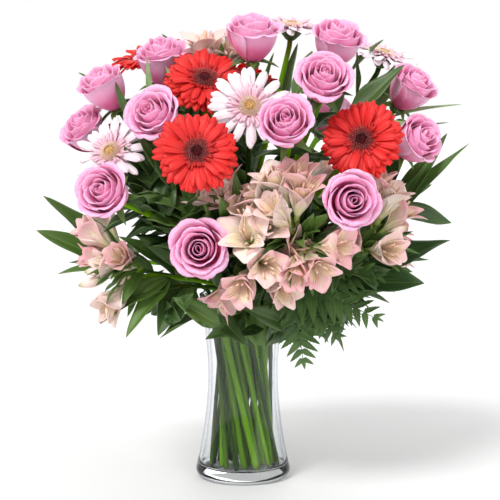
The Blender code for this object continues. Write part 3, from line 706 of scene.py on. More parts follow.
for number, label in enumerate(roseNames):
    chance = np.random.default_rng(100 + number)
    base, axis = heads[label + "_stem"]
    grids, tones = rosePetals(roseShape, chance.uniform(0.2, 0.9), chance)
    spin = basis(axis, chance.uniform(0, 6.28))
    bloom = Piece(label)
    bloom.sheets(placed(grids, spin, base + axis * 0.002), roseShape["thick"], tones)
    bloom.build(roseMaterial, "rose_petal", (label + "_bloom",))
    calyx = Piece(label + "_calyx")
    addCalyx(calyx, base, axis, chance)
    calyx.build(lanceMaterial, "leaf_green")
print("roses made:", len(roseNames))


# gerberas

gerberaShape = {"radius": 0.042, "cup": 0.0105, "eye": 0.0056, "ring": 0.0145, "ray": 0.0088,
                "innerRays": 34, "ringBeads": 230, "eyeBeads": 90, "filaments": 90}


# rays: narrow at the foot, widest past the middle, blunt and slightly notched at the tip, with two
# shallow grooves; each leaves the cup, arches out and sinks or lifts a little at the tip
def rayGrids(count, start, length, width, rise, sink, first, chance, rows=10, columns=7):
    angle = first + np.arange(count) * 2 * np.pi / count + chance.normal(0, 0.035, count)
    t = (1 - (1 - np.linspace(0, 1, rows)) ** 1.8)[None, :, None]
    s = np.linspace(-1, 1, columns)[None, None]
    swell = 0.34 + 0.66 * np.sin(np.pi * np.clip(t * 0.78, 0, 1)) ** 0.8
    half = width / 2 * uneven(chance, 0.08, count) * swell
    half = half * np.sqrt(np.clip(1.02 - np.clip((t - 0.84) / 0.16, 0, 1) ** 2.4, 0.02, 1))
    notch = 0.035 * np.abs(s) ** 2 * t**4 + 0.02 * np.cos(4.5 * s) * t**8
    reach = length * uneven(chance, 0.04, count) * (t - notch)
    height = rise * uneven(chance, 0.25, count) * np.sin(np.pi / 2 * t)
    height = height - sink * uneven(chance, 0.5, count) * t**2.5
    height = height + 0.0007 * np.cos(5.5 * s) * t * (1 - 0.3 * t) - 0.0012 * s**2 * t
    lean = chance.normal(0, 0.22, count)[:, None, None] * s * half * 0.8
    x, y, z = start + reach, s * half, height + lean
    a = angle[:, None, None]
    return np.stack([x * np.cos(a) - y * np.sin(a), x * np.sin(a) + y * np.cos(a), z], -1)


# eye: florets packed at the golden angle on a low dome, each a small closed bead
def addBeads(piece, frameHere, base, count, radius, dome, size, tone, kind, hollow=0.0):
    i = np.arange(count) + 0.5
    r = radius * np.sqrt(hollow + (1 - hollow) * i / count)
    a = i * goldenAngle
    z = dome * (1 - (r / radius) ** 2)
    at = np.stack([r * np.cos(a), r * np.sin(a), z], -1)
    t = np.linspace(0, 1, 4)[None, :, None]
    stand = unit(np.stack([0.35 * r * np.cos(a), 0.35 * r * np.sin(a), np.full(count, radius)], -1))
    paths = (at[:, None] + stand[:, None] * t * size * 1.6) @ frameHere.T + base
    radii = size * 0.5 * np.array([0.8, 1.0, 0.85, 0.25])[None] * np.ones((count, 1))
    piece.tubes(paths, radii, 5, tone, kind)


def addFilaments(piece, frameHere, base, count, inside, outside, length, width, kind, chance):
    angle = np.arange(count) * goldenAngle
    r = inside + (outside - inside) * chance.uniform(0, 1, count) ** 0.7
    lean = 0.35 + 1.0 * (r - inside) / (outside - inside) + chance.normal(0, 0.12, count)
    out = np.stack([np.cos(angle), np.sin(angle), 0 * angle], -1)
    rise = np.array([0.0, 0, 1])
    heading3 = out * np.sin(lean)[:, None] + rise * np.cos(lean)[:, None]
    side = np.stack([-np.sin(angle), np.cos(angle), 0 * angle], -1)
    t = np.linspace(0, 1, 4)[None, :, None, None]
    s = np.linspace(-1, 1, 2)[None, None, :, None]
    start = out * r[:, None] * 0.9
    grids = (start[:, None, None] + heading3[:, None, None] * t * length
             + side[:, None, None] * s * width / 2 * (1 - 0.5 * t))
    piece.sheets(placed(grids, frameHere, base), 0.0004, chance.uniform(0, 1, count), kind)


def gerbera(label, number, material, slotName, outerCount, pale):
    chance = np.random.default_rng(300 + number)
    base, axis = heads[label + "_stem"]
    frameHere = basis(axis, chance.uniform(0, 6.28))
    radius, cup = gerberaShape["radius"], gerberaShape["cup"]
    top = base + axis * (cup + 0.002)
    bloom = Piece(label)
    ray = gerberaShape["ray"]
    rays = [(outerCount, 0.007, radius - 0.007, ray, 0.0045, 0.004, 0.0),
            (outerCount - 2, 0.006, radius * 0.95 - 0.006, ray * 0.96, 0.0075, 0.003, 0.12)]
    if not pale:
        rays.append((outerCount - 6, 0.006, radius * 0.84 - 0.006, ray * 0.88, 0.0095, 0.002, 0.3))
    for count, start, length, width, rise, sink, first in rays:
        grids = rayGrids(count, start, length, width, rise, sink, first, chance)
        bloom.sheets(placed(grids, frameHere, top), 0.0008, chance.uniform(0, 1, count), 0.0)
    innerSpan = 0.45 if pale else 0.36
    for share, lift, wide in ((1.0, 0.006, 0.0034), (0.74, 0.0075, 0.003)):
        grids = rayGrids(gerberaShape["innerRays"], 0.006, radius * innerSpan * share, wide, lift, 0.001,
                         share, chance, 7, 3)
        bloom.sheets(placed(grids, frameHere, top), 0.0006, chance.uniform(0, 1, len(grids)), 1.0)
    eye, ring = gerberaShape["eye"], gerberaShape["ring"] * (0.75 if pale else 1.0)
    beads, eyeBeads = gerberaShape["ringBeads"], gerberaShape["eyeBeads"]
    addBeads(bloom, frameHere, top + axis * 0.0045, beads, ring, 0.003, 0.0011,
             chance.uniform(0, 1, beads), 2.0, (eye / ring) ** 2)
    addFilaments(bloom, frameHere, top + axis * 0.003, gerberaShape["filaments"], eye, ring * 0.9,
                 0.0052, 0.0008, 2.0, chance)
    addBeads(bloom, frameHere, top + axis * 0.0035, eyeBeads, eye * 1.1, 0.002, 0.0014,
             chance.uniform(0, 1, eyeBeads), 3.0)
    t = np.linspace(0, 1, 7)
    core = (top + np.outer(t * 0.0085 - 0.004, axis))[None]
    bloom.tubes(core, (ring * 1.02 * np.sqrt(np.clip(1 - t**3, 0.02, 1)))[None], 24, 0.1, 3.0)
    bloom.build(material, slotName, (label + "_bloom",))
    cupPiece = Piece(label + "_cup")
    t = np.linspace(0, 1, 9)
    cupPiece.tubes((base + np.outer(t * (cup + 0.001) - 0.001, axis))[None],
                   (0.0028 + 0.0085 * t**0.6)[None], 20, 0.55)
    for count, low, long in ((16, 0.1, 0.010), (18, 0.3, 0.012), (20, 0.5, 0.014)):
        angle = np.arange(count) * 2 * np.pi / count + low * 4
        outward = np.stack([np.cos(angle), np.sin(angle), 0 * angle], -1)
        start = (outward * (0.003 + 0.0085 * low**0.6) + np.array([0, 0, low * cup])) @ frameHere.T + base
        grow = (outward * 0.62 + np.array([0, 0, 0.78])) @ frameHere.T
        bracts = leafGrids(start, grow, outward @ frameHere.T, long, 0.0042, 0.1, 0.1, 0.0, 0.0, 0.35, 6, 3)
        cupPiece.sheets(bracts, 0.0006, 0.5)
    cupPiece.build(lanceMaterial, "leaf_green")


for number, label in enumerate(redNames):
    gerbera(label, number, redMaterial, "gerbera_red", 31, False)
for number, label in enumerate(paleNames):
    gerbera(label, number + 20, paleMaterial, "gerbera_pale", 16, True)
print("gerberas made:", len(redNames) + len(paleNames))


# alstroemeria

lilyShape = {"length": 0.052, "broad": 0.0275, "narrow": 0.0165, "spread": 0.78}


# tepals of one flower: each leaves the tube along the axis and flares out as it goes, its tip curling
# back; width swells past the middle and ends in a soft point; open is how far the mouth spreads
def tepalGrids(count, length, width, open, first, chance, rows=12, columns=7, point=0.3):
    angle = first + np.arange(count) * 2 * np.pi / count + chance.normal(0, 0.1, count)
    t = np.linspace(0, 1, rows)[None, :, None]
    s = np.linspace(-1, 1, columns)[None, None]
    flare = open * uneven(chance, 0.12, count)
    half = width / 2 * (0.16 + 0.84 * np.sin(np.pi * np.clip(t**1.25 * 0.86 + 0.02, 0, 1)) ** 1.1)
    half = half * (1 - (1 - point) * smooth(t, 0.86, 1.0) * 0.85)
    r = 0.0014 + length * (0.05 * t + flare * 0.62 * t**2.1)
    z = length * (t - 0.28 * flare * t**3.2) * uneven(chance, 0.04, count)
    bowl = half * (0.55 * np.abs(s) ** 1.6) * (1 - 0.5 * t)
    ripple = 0.05 * half * np.sin(7 * t + 3 * s + angle[:, None, None] * 3) * s**2 * 4
    r = r - bowl + ripple
    y = s * half
    a = angle[:, None, None]
    return np.stack([r * np.cos(a) - y * np.sin(a), r * np.sin(a) + y * np.cos(a), z + 0 * y], -1)


def addLily(piece, base, axis, size, open, chance):
    spin = basis(axis, chance.uniform(0, 6.28))
    length, open = lilyShape["length"] * size, open * lilyShape["spread"]
    tone = chance.uniform(0.1, 0.9)
    outer = tepalGrids(3, length, lilyShape["broad"] * size, open, 0.0, chance)
    inner = tepalGrids(3, length * 1.04, lilyShape["narrow"] * size, open * 0.85, np.pi / 3, chance)
    piece.sheets(placed(outer, spin, base), 0.0007, np.clip(tone + chance.normal(0, 0.1, 3), 0, 1), 0.0)
    piece.sheets(placed(inner, spin, base), 0.0006, np.clip(tone + chance.normal(0, 0.1, 3), 0, 1), 1.0)
    if open > 0.3:
        t = np.linspace(0, 1, 7)[None, :, None]
        a = chance.uniform(0, 6.28, 6)
        out = np.stack([np.cos(a), np.sin(a), 0 * a], -1)[:, None]
        lines = (out * (0.001 + 0.009 * t**2 * chance.uniform(0.4, 1.2, 6)[:, None, None])
                 + np.array([0, 0, 1]) * length * 0.82 * t)
        piece.tubes(lines @ spin.T + base, np.array([0.0005] * 5 + [0.0013, 0.001])[None], 5, 0.5, 2.0)
    t = np.linspace(0, 1, 6)
    ovary = (base + np.outer(t * 0.009 - 0.007, axis))[None]
    piece.tubes(ovary, (0.0012 + 0.0022 * np.sin(np.pi * (0.15 + 0.7 * t)))[None], 10, 0.5, 3.0)


def addBud(piece, base, axis, length, width, chance):
    t = np.linspace(0, 1, 12)
    line = base + np.outer(t * length, axis)
    swell = np.sin(np.pi * np.clip(t * 0.93 + 0.05, 0, 1)) ** 0.8
    radii = width / 2 * swell * (1 + 0.25 * t) * 0.85 + 0.0004
    piece.tubes(line[None], radii[None], 12, chance.uniform(0, 1), 4.0)


# a curved stalk from one point to another, leaving one way and arriving another
def stalkLine(start, leaving, end, arriving, count=14):
    reach = np.linalg.norm(end - start) * 0.4
    t = np.linspace(0, 1, count)[:, None]
    s = 1 - t
    a, b = start + leaving * reach, end - arriving * reach
    return start * s**3 + a * 3 * s**2 * t + b * 3 * s * t**2 + end * t**3


# each flower of a spray: azimuth, elevation, distance of its middle from the knot in mm, size, how open
# (under 0.1 is a bud)
sprayFlowers = {
    "alstroemeria_1": [
        (-60, 52, 40, 0.9, 0.9), (-20, 70, 44, 1.0, 1.0), (40, 62, 34, 0.9, 0.8),
        (80, 60, 40, 0.9, 0.9), (-100, 50, 40, 0.7, 0.05), (10, 40, 30, 0.8, 0.7)],
    "alstroemeria_2": [
        (-85, 36, 58, 1.0, 0.45), (-76, -2, 52, 0.9, 0.04), (-66, -12, 62, 0.95, 0.04),
        (-60, 8, 30, 1.0, 0.5), (-45, -38, 46, 1.05, 0.6), (-30, 22, 26, 1.0, 0.55),
        (-40, -20, 32, 0.7, 0.04), (-85, 12, 44, 0.9, 0.4)],
    "alstroemeria_3": [
        (-80, 50, 68, 1.05, 0.8), (-45, 58, 62, 1.0, 0.9), (-15, 52, 54, 1.05, 0.85),
        (-60, 66, 80, 1.0, 0.7), (-12, 24, 50, 1.05, 1.0), (16, 38, 52, 1.0, 0.9),
        (12, -4, 46, 1.0, 0.8), (-14, -28, 46, 1.0, 0.7), (-95, 60, 86, 0.9, 0.5),
        (34, -30, 48, 1.0, 0.6), (50, 14, 50, 1.0, 0.8), (-70, -50, 44, 1.1, 0.7)],
    "alstroemeria_4": [
        (-48, 62, 66, 1.05, 0.9), (-12, 68, 68, 1.0, 0.8), (-74, 48, 64, 1.0, 0.9),
        (18, 60, 56, 1.0, 0.8), (-40, 40, 48, 1.0, 0.6), (-10, -34, 36, 1.0, 0.5),
        (20, -26, 40, 0.95, 0.7), (50, 6, 40, 1.0, 0.8)],
    "alstroemeria_5": [
        (60, 62, 60, 1.0, 0.8), (30, 5, 36, 1.0, 0.7), (85, 45, 52, 0.95, 0.8), (50, 74, 66, 0.95, 0.6),
        (100, 66, 56, 0.9, 0.5), (-30, 20, 30, 1.0, 0.8), (75, 30, 44, 0.8, 0.06)],
}


def spray(label, knot, axis, flowers, number):
    chance = np.random.default_rng(500 + number)
    piece, greens = Piece(label), Piece(label + "_leaves")
    stalks = []
    for azimuth, elevation, reach, size, open in flowers:
        way = heading(azimuth, elevation)
        middle = 0.45 * lilyShape["length"] * size
        end = clearOfRoses(knot + way * max(reach / 1000, middle + 0.009)) - way * middle
        stalks.append(stalkLine(knot, unit(axis * 0.8 + way), end, way))
        if open < 0.1:
            addBud(piece, end, way, 0.034 * size, 0.012 * size, chance)
        else:
            addLily(piece, end, way, size, open, chance)
    piece.tubes(np.array(stalks), np.linspace(0.0017, 0.0013, 14)[None], 8, 0.6, 3.0)
    count = 15
    spread = np.array([heading(azimuth + chance.normal(0, 35), elevation * 0.6 - 4 + chance.normal(0, 18))
                       for azimuth, elevation, *_ in (flowers * 5)[:count]])
    up = skyward(spread, chance.normal(0, 0.5, count))
    length, width = chance.uniform(0.04, 0.072, count), chance.uniform(0.013, 0.022, count)
    droop, twist = chance.uniform(0.1, 0.8, count), chance.normal(0, 0.7, count)
    starts = np.tile(knot - axis * 0.004, (count, 1))
    greens.sheets(fillerGrids(starts, spread, up, length, width, droop, 0.25, 0.1, twist),
                  0.0007, chance.uniform(0.3, 1, count))
    return piece, greens


for number, label in enumerate(sorted(sprayFlowers)):
    radius = stemSize["alstroemeria"]
    line, knot, axis = knotted(label, radius)
    piece, greens = spray(label + "_flowers", knot, axis, sprayFlowers[label], number)
    piece.build(tepalMaterial, "alstroemeria_petal", (label,))
    greens.build(lanceMaterial, "leaf_green")
    stalkPiece(label, line, radius, np.sort(random.uniform(0.1, 0.95, 6)), random.uniform(0.4, 1), 0.0018, 14)


# side shoots behind: (azimuth, elevation and reach of the knot about the binding point, its flowers)
sideShoots = {
    "alstroemeria_shoot_1": (150, 44, 0.19, [
        (130, 60, 46, 1.0, 0.9), (165, 40, 44, 1.0, 0.8), (150, 15, 38, 0.95, 0.7),
        (110, 35, 40, 1.0, 0.9), (175, 70, 40, 0.8, 0.05)]),
    "alstroemeria_shoot_2": (-150, 42, 0.185, [
        (-135, 60, 46, 1.0, 0.9), (-170, 42, 44, 1.0, 0.8), (-150, 12, 38, 0.95, 0.7),
        (-110, 32, 40, 1.0, 0.9), (-180, 66, 40, 0.8, 0.05)]),
    "alstroemeria_shoot_3": (185, 22, 0.15, [
        (170, 40, 44, 1.0, 0.8), (200, 30, 44, 1.0, 0.8), (185, -10, 36, 0.9, 0.6)]),
    "alstroemeria_shoot_4": (112, 28, 0.165, [
        (100, 45, 44, 1.0, 0.8), (125, 30, 44, 1.0, 0.9), (95, 5, 36, 0.9, 0.6)]),
    "alstroemeria_shoot_5": (-115, 30, 0.165, [
        (-100, 45, 44, 1.0, 0.8), (-128, 34, 44, 1.0, 0.9), (-110, 0, 36, 0.9, 0.6)]),
}
binding = np.array([0, 0, rimHeight - 0.045])
for number, (label, (azimuth, elevation, reach, flowers)) in enumerate(sideShoots.items()):
    axis = heading(azimuth, elevation)
    knot = binding + axis * reach
    piece, greens = spray(label + "_flowers", knot, axis, flowers, number + 20)
    piece.build(tepalMaterial, "alstroemeria_petal")
    greens.build(lanceMaterial, "leaf_green")
    root = np.array([axis[0] * 0.02, axis[1] * 0.02, rimHeight + 0.01])
    stalk = Piece(label + "_stalk")
    stalk.tubes(stalkLine(root, unit(axis + [0, 0, 1.2]), knot, axis, 24)[None],
                np.linspace(0.0026, 0.0022, 24)[None], 12, 0.7)
    stalk.build(stalkMaterial, "stem_green")
print("alstroemeria made:", len(sprayFlowers) + len(sideShoots))


# leafy branches: along each stalk's last stretch, leaves in mm as
# (place along from the knot back, azimuth, elevation, length, width, droop, twist, tone)
branchLeaves = {
    "ruscus_left": [
        (0, -86, 44, 122, 38, 0.06, 0.2, 0.5), (0, -76, 27, 108, 32, 0.08, -0.4, 0.6),
        (14, -66, 10, 96, 26, 0.4, 0.6, 0.75), (22, -95, 30, 88, 24, 0.3, 0.2, 0.3),
        (34, -70, 50, 80, 22, 0.5, -0.4, 0.6), (10, -100, 12, 84, 24, 0.3, 0.4, 0.4)],
    "ruscus_low": [
        (0, -62, -24, 92, 27, 0.25, 0.5, 0.85), (0, -44, -40, 84, 25, 0.2, 0.6, 0.9),
        (8, -74, -2, 84, 25, 0.5, -0.6, 0.7), (16, -30, -48, 62, 26, 0.2, -0.3, 0.25),
        (20, -58, 8, 82, 26, 0.8, 0.4, 0.6), (28, -20, -30, 54, 22, 0.5, 0.5, 0.5)],
    "ruscus_high": [
        (0, 88, 62, 104, 21, 0.12, 0.4, 0.5), (0, 92, 48, 112, 19, 0.15, -0.5, 0.7),
        (20, 70, 72, 110, 22, 0.1, 0.5, 0.3), (36, 100, 36, 96, 22, 0.3, 0.3, 0.6),
        (50, 84, 26, 96, 24, 0.4, -0.4, 0.4), (10, 60, 60, 84, 20, 0.2, 0.6, 0.65)],
    "salal_right": [
        (0, 65, 5, 90, 44, 0.1, 0.2, 0.35), (0, 86, 25, 124, 42, 0.1, -0.2, 0.3),
        (16, 50, 2, 64, 36, 0.2, 0.4, 0.5), (26, 82, 4, 70, 36, 0.2, 0.3, 0.3),
        (34, 98, 38, 96, 40, 0.3, 0.2, 0.45), (30, 60, 34, 80, 38, 0.6, 0.5, 0.2)],
    "ruscus_back": [
        (0, 180, 30, 100, 27, 0.3, 0.3, 0.4), (0, 126, 8, 96, 27, 0.4, 0.4, 0.6),
        (0, -122, 2, 96, 27, 0.4, -0.4, 0.7), (14, 155, -20, 90, 26, 0.3, 0.5, 0.8),
        (22, -150, -24, 90, 26, 0.3, -0.5, 0.5), (30, 170, 60, 90, 24, 0.3, 0.3, 0.3)],
}


def branch(label, leaves, material):
    line = knotted(label, stemSize["leaf"])[0]
    back, azimuth, elevation, length, width, droop, twist, tone = np.array(leaves, float).T
    spacing = np.linalg.norm(line[-2] - line[-3])
    at = line[np.clip(len(line) - 1 - np.round(back / 1000 / spacing).astype(int), 0, None)]
    ways = heading(azimuth, elevation)
    foliage = Piece(label + "_leaves")
    lean = np.where(np.abs(azimuth) < 110, 0.9, -0.9) * np.sin(np.radians(azimuth))
    foliage.sheets(fillerGrids(at, ways, skyward(ways, lean), length / 1000, width / 1000, droop, 0.22,
                               0.07, twist, 0.42, 19, 9), 0.0009, tone)
    foliage.build(material, "leaf_green", (label,))
    stalkPiece(label, line, stemSize["leaf"], random.uniform(0.2, 0.95, 5), random.uniform(0, 0.7), 0.0016)


for label in ("ruscus_left", "ruscus_low", "ruscus_high", "ruscus_back"):
    branch(label, branchLeaves[label], lanceMaterial)
branch("salal_right", branchLeaves["salal_right"], broadMaterial)
print("leafy branches made")


# leather fern: a rib with pairs of narrow toothed leaflets, longest near the foot

fernShape = {"pairs": 9, "reach": 0.46, "width": 0.3, "teeth": 7}
fronds = [(22, -64, 0.09), (66, -14, 0.105), (88, 10, 0.1), (52, 20, 0.085), (44, -34, 0.085)]


def frond(base, way, up, length, chance):
    side = unit(np.cross(up, way))
    t = (np.arange(fernShape["pairs"]) + 1.2) / (fernShape["pairs"] + 1.2)
    rib = base + np.outer(t * length, way) - np.outer(t**2 * length * 0.18, up)
    reach = length * fernShape["reach"] * (1 - t) ** 0.8 + 0.007
    starts = np.concatenate([rib, rib, rib[-1:]])
    ways = [unit(side * hand + way * (0.5 + 0.3 * t[:, None]) + chance.normal(0, 0.06, rib.shape))
            for hand in (-1, 1)]
    ways = np.concatenate([*ways, way[None]])
    sizes = np.concatenate([reach, reach, [0.012]])
    return starts, ways, sizes, rib


line, knot, axis = knotted("fern_front", stemSize["leaf"])
fern, chance = Piece("fern_front_fronds"), np.random.default_rng(77)
for azimuth, elevation, length in fronds:
    way = heading(azimuth, elevation)
    up = skyward(way[None], 0.9 * np.sin(np.radians(azimuth)))[0]
    starts, ways, sizes, rib = frond(knot, way, up, length, chance)
    leaflets = leafGrids(starts, ways, np.tile(up, (len(starts), 1)), sizes,
                         sizes * fernShape["width"] + 0.002, 0.25, 0.15, 0.05, 0.0, 0.3, 22, 5,
                         fernShape["teeth"])
    fern.sheets(leaflets, 0.0005, chance.uniform(0.1, 0.9, len(starts)))
    ribLine = np.concatenate([knot[None], rib])[None]
    fern.tubes(ribLine, np.linspace(0.0012, 0.0004, len(rib) + 1)[None], 6, 0.6)
fern.build(fernMaterial, "leaf_green", ("fern_front",))
stalkPiece("fern_front", line, stemSize["leaf"], random.uniform(0.2, 0.9, 4), 0.3, 0.0016)
print("fern made")


# vase: an outer and inner profile up to the frame's own rim, turned at a fine step

vaseShape = {"footRadius": 0.0525, "footHeight": 0.010, "restRadius": 0.045, "waistRadius": 0.0388,
             "waistHeight": 0.120, "rimRadius": 0.0485, "wall": 0.0035, "floor": 0.012, "corner": 0.006,
             "steps": 128}


# outer radius at a height: a parabola from the foot to the waist, then a soft flare to the rim
def vaseRadius(z, look, top):
    low = np.clip((look["waistHeight"] - z) / (look["waistHeight"] - look["footHeight"]), 0, None)
    high = np.clip((z - look["waistHeight"]) / (top - look["waistHeight"]), 0, None)
    return (look["waistRadius"] + (look["footRadius"] - look["waistRadius"]) * low**2
            + (look["rimRadius"] - look["waistRadius"]) * high**1.5)


# profile from the middle of the underside, out, up the outside, over a round lip and down inside
def vaseProfile(look, top):
    wall, bend = look["wall"], np.linspace(0, np.pi / 2, 9)
    footOut = look["restRadius"] + (look["footRadius"] - look["restRadius"]) * np.sin(bend)
    footUp = look["footHeight"] * (1 - np.cos(bend))
    up = np.linspace(look["footHeight"], top - wall / 2, 40)[1:]
    lip = np.linspace(0, np.pi, 11)[1:-1]
    middle = look["rimRadius"] - wall / 2
    down = np.linspace(top - wall / 2, look["floor"] + look["corner"], 38)
    inside = vaseRadius(down, look, top) - wall
    corner = np.linspace(0, np.pi / 2, 7)[1:]
    turnIn = look["corner"]
    cornerOut = inside[-1] - turnIn * (1 - np.cos(corner))
    cornerUp = look["floor"] + turnIn * (1 - np.sin(corner))
    return np.concatenate([
        [[0, 0.0004], [0.02, 0.0004], [0.034, 0.0]], np.stack([footOut, footUp], -1),
        np.stack([vaseRadius(up, look, top), up], -1),
        np.stack([middle + wall / 2 * np.cos(lip), top - wall / 2 + wall / 2 * np.sin(lip)], -1),
        np.stack([inside, down], -1),
        np.stack([cornerOut, cornerUp], -1),
        [[0.02, look["floor"]], [0, look["floor"]]]])


def addTurned(piece, profile, steps):  # rings round Z for all but the two end points, which close it
    angle = np.arange(steps) * 2 * np.pi / steps
    r, z = profile[1:-1, 0, None], profile[1:-1, 1, None]
    rings = np.stack([r * np.cos(angle), r * np.sin(angle), z + 0 * angle], -1).reshape(-1, 3)
    count = len(profile) - 2
    cell = np.arange(count * steps).reshape(count, steps)
    after = np.roll(cell, -1, 1)
    walls = np.stack([cell[:-1], after[:-1], after[1:], cell[1:]], -1).reshape(-1, 4)
    low, high = np.full(steps, count * steps), np.full(steps, count * steps + 1)
    caps = np.concatenate([np.stack([after[0], cell[0], low, low], -1),
                           np.stack([cell[-1], after[-1], high, high], -1)])
    u, v = np.meshgrid(angle / (2 * np.pi), np.linspace(0, 1, count))
    uv = np.concatenate([np.stack([u, v], -1).reshape(-1, 2), [[0, 0], [0, 1]]])
    ends = np.array([[0, 0, profile[0, 1]], [0, 0, profile[-1, 1]]])
    piece.add(np.concatenate([rings, ends]), np.concatenate([walls, caps]), uv, 0.5, 0.0)


# edge is a painted reflection colour, given to the glass where it is seen edge on
glassLook = {"clear": (0.965, 0.98, 0.985), "edge": (0.2, 0.23, 0.32), "ior": 1.33, "shine": 0.06}


# clear glass with a faint ripple; the grey-blue where it is seen edge on is a painted reflection, standing in
# for the dark edges that glass picks up from its surroundings
def glassMaterial(look):
    material, w, shader = blank("clearGlass")
    wave = w.noise(w.place(), 18.0, 2.0, (1.0, 1.0, 0.5))
    facing = w.node("ShaderNodeLayerWeight")
    facing.inputs["Blend"].default_value = 0.5
    w.join(w.mix(w.ramp(facing.outputs["Facing"], 0.5, 0.86), look["clear"], look["edge"]),
           shader.inputs["Base Color"])
    shader.inputs["Transmission Weight"].default_value = 1.0
    shader.inputs["IOR"].default_value = look["ior"]
    shader.inputs["Specular IOR Level"].default_value = look["shine"]
    w.join(w.times(wave, 0.02), shader.inputs["Roughness"])
    bump(w, shader, wave, 0.0006, 0.12)
    return material


vase = Piece("vase_glass")
addTurned(vase, vaseProfile(vaseShape, rimHeight), vaseShape["steps"])
vase.build(glassMaterial(glassLook), "vase_glass", ("vase",))
print("vase made")


# leaves that fill the bouquet between and behind the blooms

def envelope(elevation):  # how far the bouquet reaches from the binding, by elevation in degrees
    return 0.165 + 0.165 * smooth(np.asarray(elevation, float), 10, 78)


fillLook = {"deep": 230, "middle": 150, "upright": 400, "low": 40, "seed": 11}


def scatterLeaves(name, base, way, up, length, width, droop, tone, material, chance):
    count = len(base)
    piece = Piece(name)
    length, width = chance.uniform(*length, count), chance.uniform(*width, count)
    droop, twist = chance.uniform(*droop, count), chance.normal(0, 0.5, count)
    piece.sheets(fillerGrids(base, way, up, length, width, droop, 0.22, 0.1, twist, 0.42, 8, 5),
                 0.0008, chance.uniform(*tone, count))
    piece.build(material, "leaf_green")


# cover leaves lie across the way out, faces turned outwards, so no gap shows through the bouquet
def coverLeaves(name, count, low, high, share, length, width, tone, material, seed):
    chance = np.random.default_rng(seed)
    i = np.arange(count)
    azimuth = (i * goldenTurn) % 360 - 180
    elevation = low + (high - low) * ((i * goldenShare) % 1)
    out = heading(azimuth, elevation)
    reach = envelope(elevation) * chance.uniform(*share, count)
    around = unit(np.cross(out, unit(chance.normal(size=(count, 3)))))
    way = unit(out * chance.uniform(0.2, 0.8, count)[:, None] + around * 0.8 + np.array([0, 0, 0.2]))
    base = binding + out * reach[:, None] - way * 0.025
    scatterLeaves(name, base, way, out, length, width, (0.1, 0.6), tone, material, chance)


# the deep cover leaves take only the darkest tones, 0 to 0.25: painted shade inside the bouquet
coverLeaves("filler_leaves_deep_shade", fillLook["deep"], 5, 84, (0.4, 0.66), (0.06, 0.09), (0.026, 0.038),
            (0.0, 0.25), broadMaterial, fillLook["seed"])
coverLeaves("filler_leaves_mid", fillLook["middle"], 4, 80, (0.62, 0.82), (0.05, 0.08), (0.018, 0.028),
            (0.05, 0.7), lanceMaterial, fillLook["seed"] + 1)
coverLeaves("filler_leaves_low", fillLook["low"], 4, 28, (0.42, 0.72), (0.055, 0.08), (0.02, 0.03),
            (0.1, 0.8), lanceMaterial, fillLook["seed"] + 2)


# upright leaves grow along the stems, turned any way about their own length
def uprightLeaves(name, count, material, seed):
    chance = np.random.default_rng(seed)
    i = np.arange(count)
    elevation = 16 + 66 * ((i * goldenShare) % 1) ** 1.1
    out = heading((i * goldenTurn) % 360 - 180, elevation)
    across = unit(np.cross(out, unit(chance.normal(size=(count, 3)))))
    way = unit(out + across * chance.uniform(0.1, 0.7, count)[:, None])
    base = binding + out * (envelope(elevation) * chance.uniform(0.3, 0.68, count))[:, None]
    up = unit(np.cross(way, unit(chance.normal(size=(count, 3)))))
    scatterLeaves(name, base, way, up, (0.065, 0.095), (0.018, 0.03), (0.0, 0.35), (0.0, 0.6), material,
                  chance)


uprightLeaves("filler_leaves_upright", fillLook["upright"], lanceMaterial, fillLook["seed"] + 3)


# rose leaves: a short stalk with three leaflets, at two places below each bloom
roseLeafLook = {"below": (0.045, 0.085), "stalk": 0.014, "length": 0.042, "width": 0.026}


def roseLeaves(label, line, chance):
    piece = Piece(label + "_leaves")
    pace = np.linalg.norm(line[-1] - line[-2])
    for below in roseLeafLook["below"]:
        at = line[max(len(line) - 1 - int(below / pace), 30)]
        away = unit(np.array([at[0], at[1], 0.02]) + chance.normal(0, 0.05, 3))
        end = at + away * roseLeafLook["stalk"]
        piece.tubes(np.linspace(at, end, 4)[None], np.full((1, 4), 0.0009), 6, 0.6)
        side = unit(np.cross(away, [0, 0, 1.0]))
        ways = unit(np.stack([away, away * 0.45 + side, away * 0.45 - side]) + np.array([0, 0, 0.25]))
        starts = np.stack([end, end - away * 0.004, end - away * 0.004])
        length = roseLeafLook["length"] * np.array([1.0, 0.85, 0.85])
        width = roseLeafLook["width"] * np.array([1.0, 0.88, 0.88])
        leaflets = fillerGrids(starts, ways, skyward(ways), length, width, chance.uniform(0.3, 0.8, 3), 0.3,
                               0.08, 0.0, 0.45, 11, 7)
        piece.sheets(leaflets, 0.0007, chance.uniform(0.1, 0.6))
    piece.build(broadMaterial, "leaf_green")


for number, label in enumerate(roseNames):
    roseLeaves(label, stemLines[label], np.random.default_rng(700 + number))


